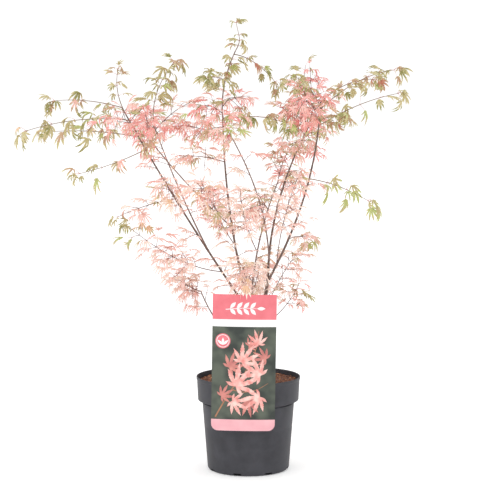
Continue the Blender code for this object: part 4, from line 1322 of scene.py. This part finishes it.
def grow_mass(canopy, name, mass, stem, in_space):
    """A mass again by the source's rule, with nodes and twigs at their real spacing."""
    rng = random.Random(f"{SEED}-{name}")
    kind = "shoots_green" if mass.tint == "olive" else "shoots_violet"
    habit = HABITS[mass.tint]
    blade = mass.blade * habit.share * LEAF_SIZE.get(name, 1)
    rule = Rule(habit, DEALT.get(name, mass.tint), blade, mass.spacing, rng, in_space)
    rings = max(4, round(stem.length / SHOOT_STEP))
    points = [stem.point(k / rings) for k in range(rings + 1)]
    if name in LONGER:
        points.append(stem.tip + stem.direction(1) * LONGER[name])
        rings += 1
    radii = [mix(*SHOOT_RADII, k / rings) for k in range(rings + 1)]
    canopy.wood[kind].append(tube(points, radii, 7))
    nodes = max(2, round(stem.length * (1 - mass.bare) / (habit.step * mass.spacing)))
    turn = rng.uniform(-PAIR_TURN, PAIR_TURN)
    for number in range(nodes):
        share = mass.bare + (LAST_NODE - mass.bare) * number / nodes
        if share > OLIVE_TIPS.get(name, 1):
            rule = rule._replace(habit=HABITS["olive"], dealt="olive")
        root, axis = stem.point(share), stem.direction(share)
        crossing = turn + (number % 2) * pi / 2
        reach = mass.reach * REACH.get(name, 1) * (1 - FAR_REACH_SHARE * number / nodes)
        for way in pair_directions(axis, crossing):
            twiggy = reach > TWIG_LEAST and rng.random() < TWIG_CHANCE
            if not (twiggy and grow_twig(canopy, rule, kind, root, way, reach)):
                grow_leaf(canopy, rule, root, way, deal(rule))
        if rng.random() < rule.habit.crossed:
            across = pair_directions(axis, crossing + pi / 2)
            grow_leaves(canopy, rule, root, across, CROSSED_SIZE)
    tip, axis = points[-1], stem.direction(1)
    colours = deal(rule)
    for way in pair_directions(axis, turn):
        grow_leaf(canopy, rule, stem.point(LAST_PAIR), way, colours, CROSSED_SIZE)
        if name in LONGER:
            grow_leaf(canopy, rule, tip, way, colours, BEYOND_SIZE)
    grow_leaf(canopy, rule, tip, axis, colours)
    if mass.tint == "olive":
        grow_leaves(canopy, rule, tip, pair_directions(axis, turn + pi / 2), TIP_SIZE)


def grow_limb_shoots(canopy, stem, shoots, rng):
    """Short leafy shoots straight from a limb, between the masses' own stems."""
    habit = HABITS[shoots.tint]
    rule = Rule(habit, shoots.tint, LIMB_BLADE * habit.share, 1, rng, lambda place: True)
    run = shoots.last - shoots.first
    count = max(1, round(stem.length * run / shoots.step))
    for number in range(count):
        share = shoots.first + run * (number + rng.random()) / count
        root = stem.point(share)
        ways = pair_directions(stem.direction(share), rng.uniform(0, pi))
        way = rng.choice(ways)
        if shoots.tint == "olive":
            grow_leaves(canopy, rule, root, ways, LIMB_OLIVE_SIZE)
        else:
            reach = rng.uniform(*LIMB_SHOOT_REACH[shoots.tint])
            grow_twig(canopy, rule, "shoots_violet", root, way, reach)


def build_foliage(limbs):
    stems = mass_stems(limbs)
    space = kdtree.KDTree(len(stems) * SPACE_SAMPLES)
    for owner, stem in enumerate(stems.values()):
        for k in range(SPACE_SAMPLES):
            space.insert(stem.point(mix(SPACE_FROM, 1, k / (SPACE_SAMPLES - 1))), owner)
    space.balance()
    canopy = Canopy()
    for owner, (name, stem) in enumerate(stems.items()):
        grow_mass(canopy, name, MASSES[name], stem, lambda p: space.find(p)[1] == owner)
    rng = random.Random(SEED)
    for shoots in LIMB_SHOOTS:
        grow_limb_shoots(canopy, limbs[shoots.limb], shoots, rng)
    lead = {"deep_pink": "pink", "peach": "peach", "khaki": "olive"}
    for slot, shades in LEAF_COLOURS.items():
        for colour, seen in shades.items():
            replaced = [name for name in stems if MASSES[name].tint == lead.get(colour)]
            shape = join_shapes(canopy.leaves[colour])
            surface = plain_material(f"leaf_{colour}", seen, LEAF_ROUGHNESS)
            add_piece(f"leaves_{colour}", shape, surface, replaced, LEAF_SHARP)
    for kind, name, seen, roughness in SHOOT_COLOURS:
        surface = plain_material(name, seen, roughness)
        shape = join_shapes(canopy.wood[kind])
        add_piece(kind, shape, surface, smooth_angle=SHOOT_SHARP)


# --- studio ---
def build_studio():
    ground = bpy.data.meshes.new("floor")
    corners = [(x * FLOOR_HALF, y * FLOOR_HALF, 0) for x, y in ((-1, -1), (1, -1), (1, 1), (-1, 1))]
    ground.from_pydata(corners, [], [(0, 1, 2, 3)])
    white = plain_material("floor", (250, 250, 250), 0.9)
    glow = {"Emission Color": (1, 1, 1, 1), "Emission Strength": FLOOR_GLOW}
    ground.materials.append(set_shader(white, glow))
    floor = put_in_scene("floor", ground)
    floor.location.z = -FLOOR_DROP * MM
    world = bpy.data.worlds.new("white_sky")
    world.use_nodes = True
    sky = world.node_tree.nodes["Background"].inputs
    sky["Color"].default_value = (1, 1, 1, 1)
    sky["Strength"].default_value = SKY_STRENGTH
    bpy.context.scene.world = world
    light = bpy.data.lights.new("key", "AREA")
    light.size, light.energy = KEY_SIZE, KEY_POWER
    lamp = put_in_scene("key", light)
    lamp.location = KEY_PLACE
    aim = Vector(KEY_AIM) - Vector(KEY_PLACE)
    lamp.rotation_euler = aim.to_track_quat("-Z", "Y").to_euler()
    bpy.context.scene.view_settings.view_transform = "Standard"


def build_camera():
    view = bpy.data.cameras.new("camera")
    view.sensor_width = SENSOR
    view.lens = FOCAL_PIXELS / PICTURE_PIXELS * SENSOR
    view.shift_x = (PICTURE_PIXELS / 2 - AXIS_PIXEL) / PICTURE_PIXELS
    camera = put_in_scene("camera", view)
    camera.location = (0, -CAMERA_DISTANCE * MM, CAMERA_HEIGHT * MM)
    camera.rotation_euler = (radians(90 - CAMERA_PITCH), 0, 0)
    bpy.context.scene.camera = camera


build_pot()
build_compost()
build_label()
limb_stems = grow_limbs()
build_stems(limb_stems)
build_foliage(limb_stems)
build_studio()
build_camera()
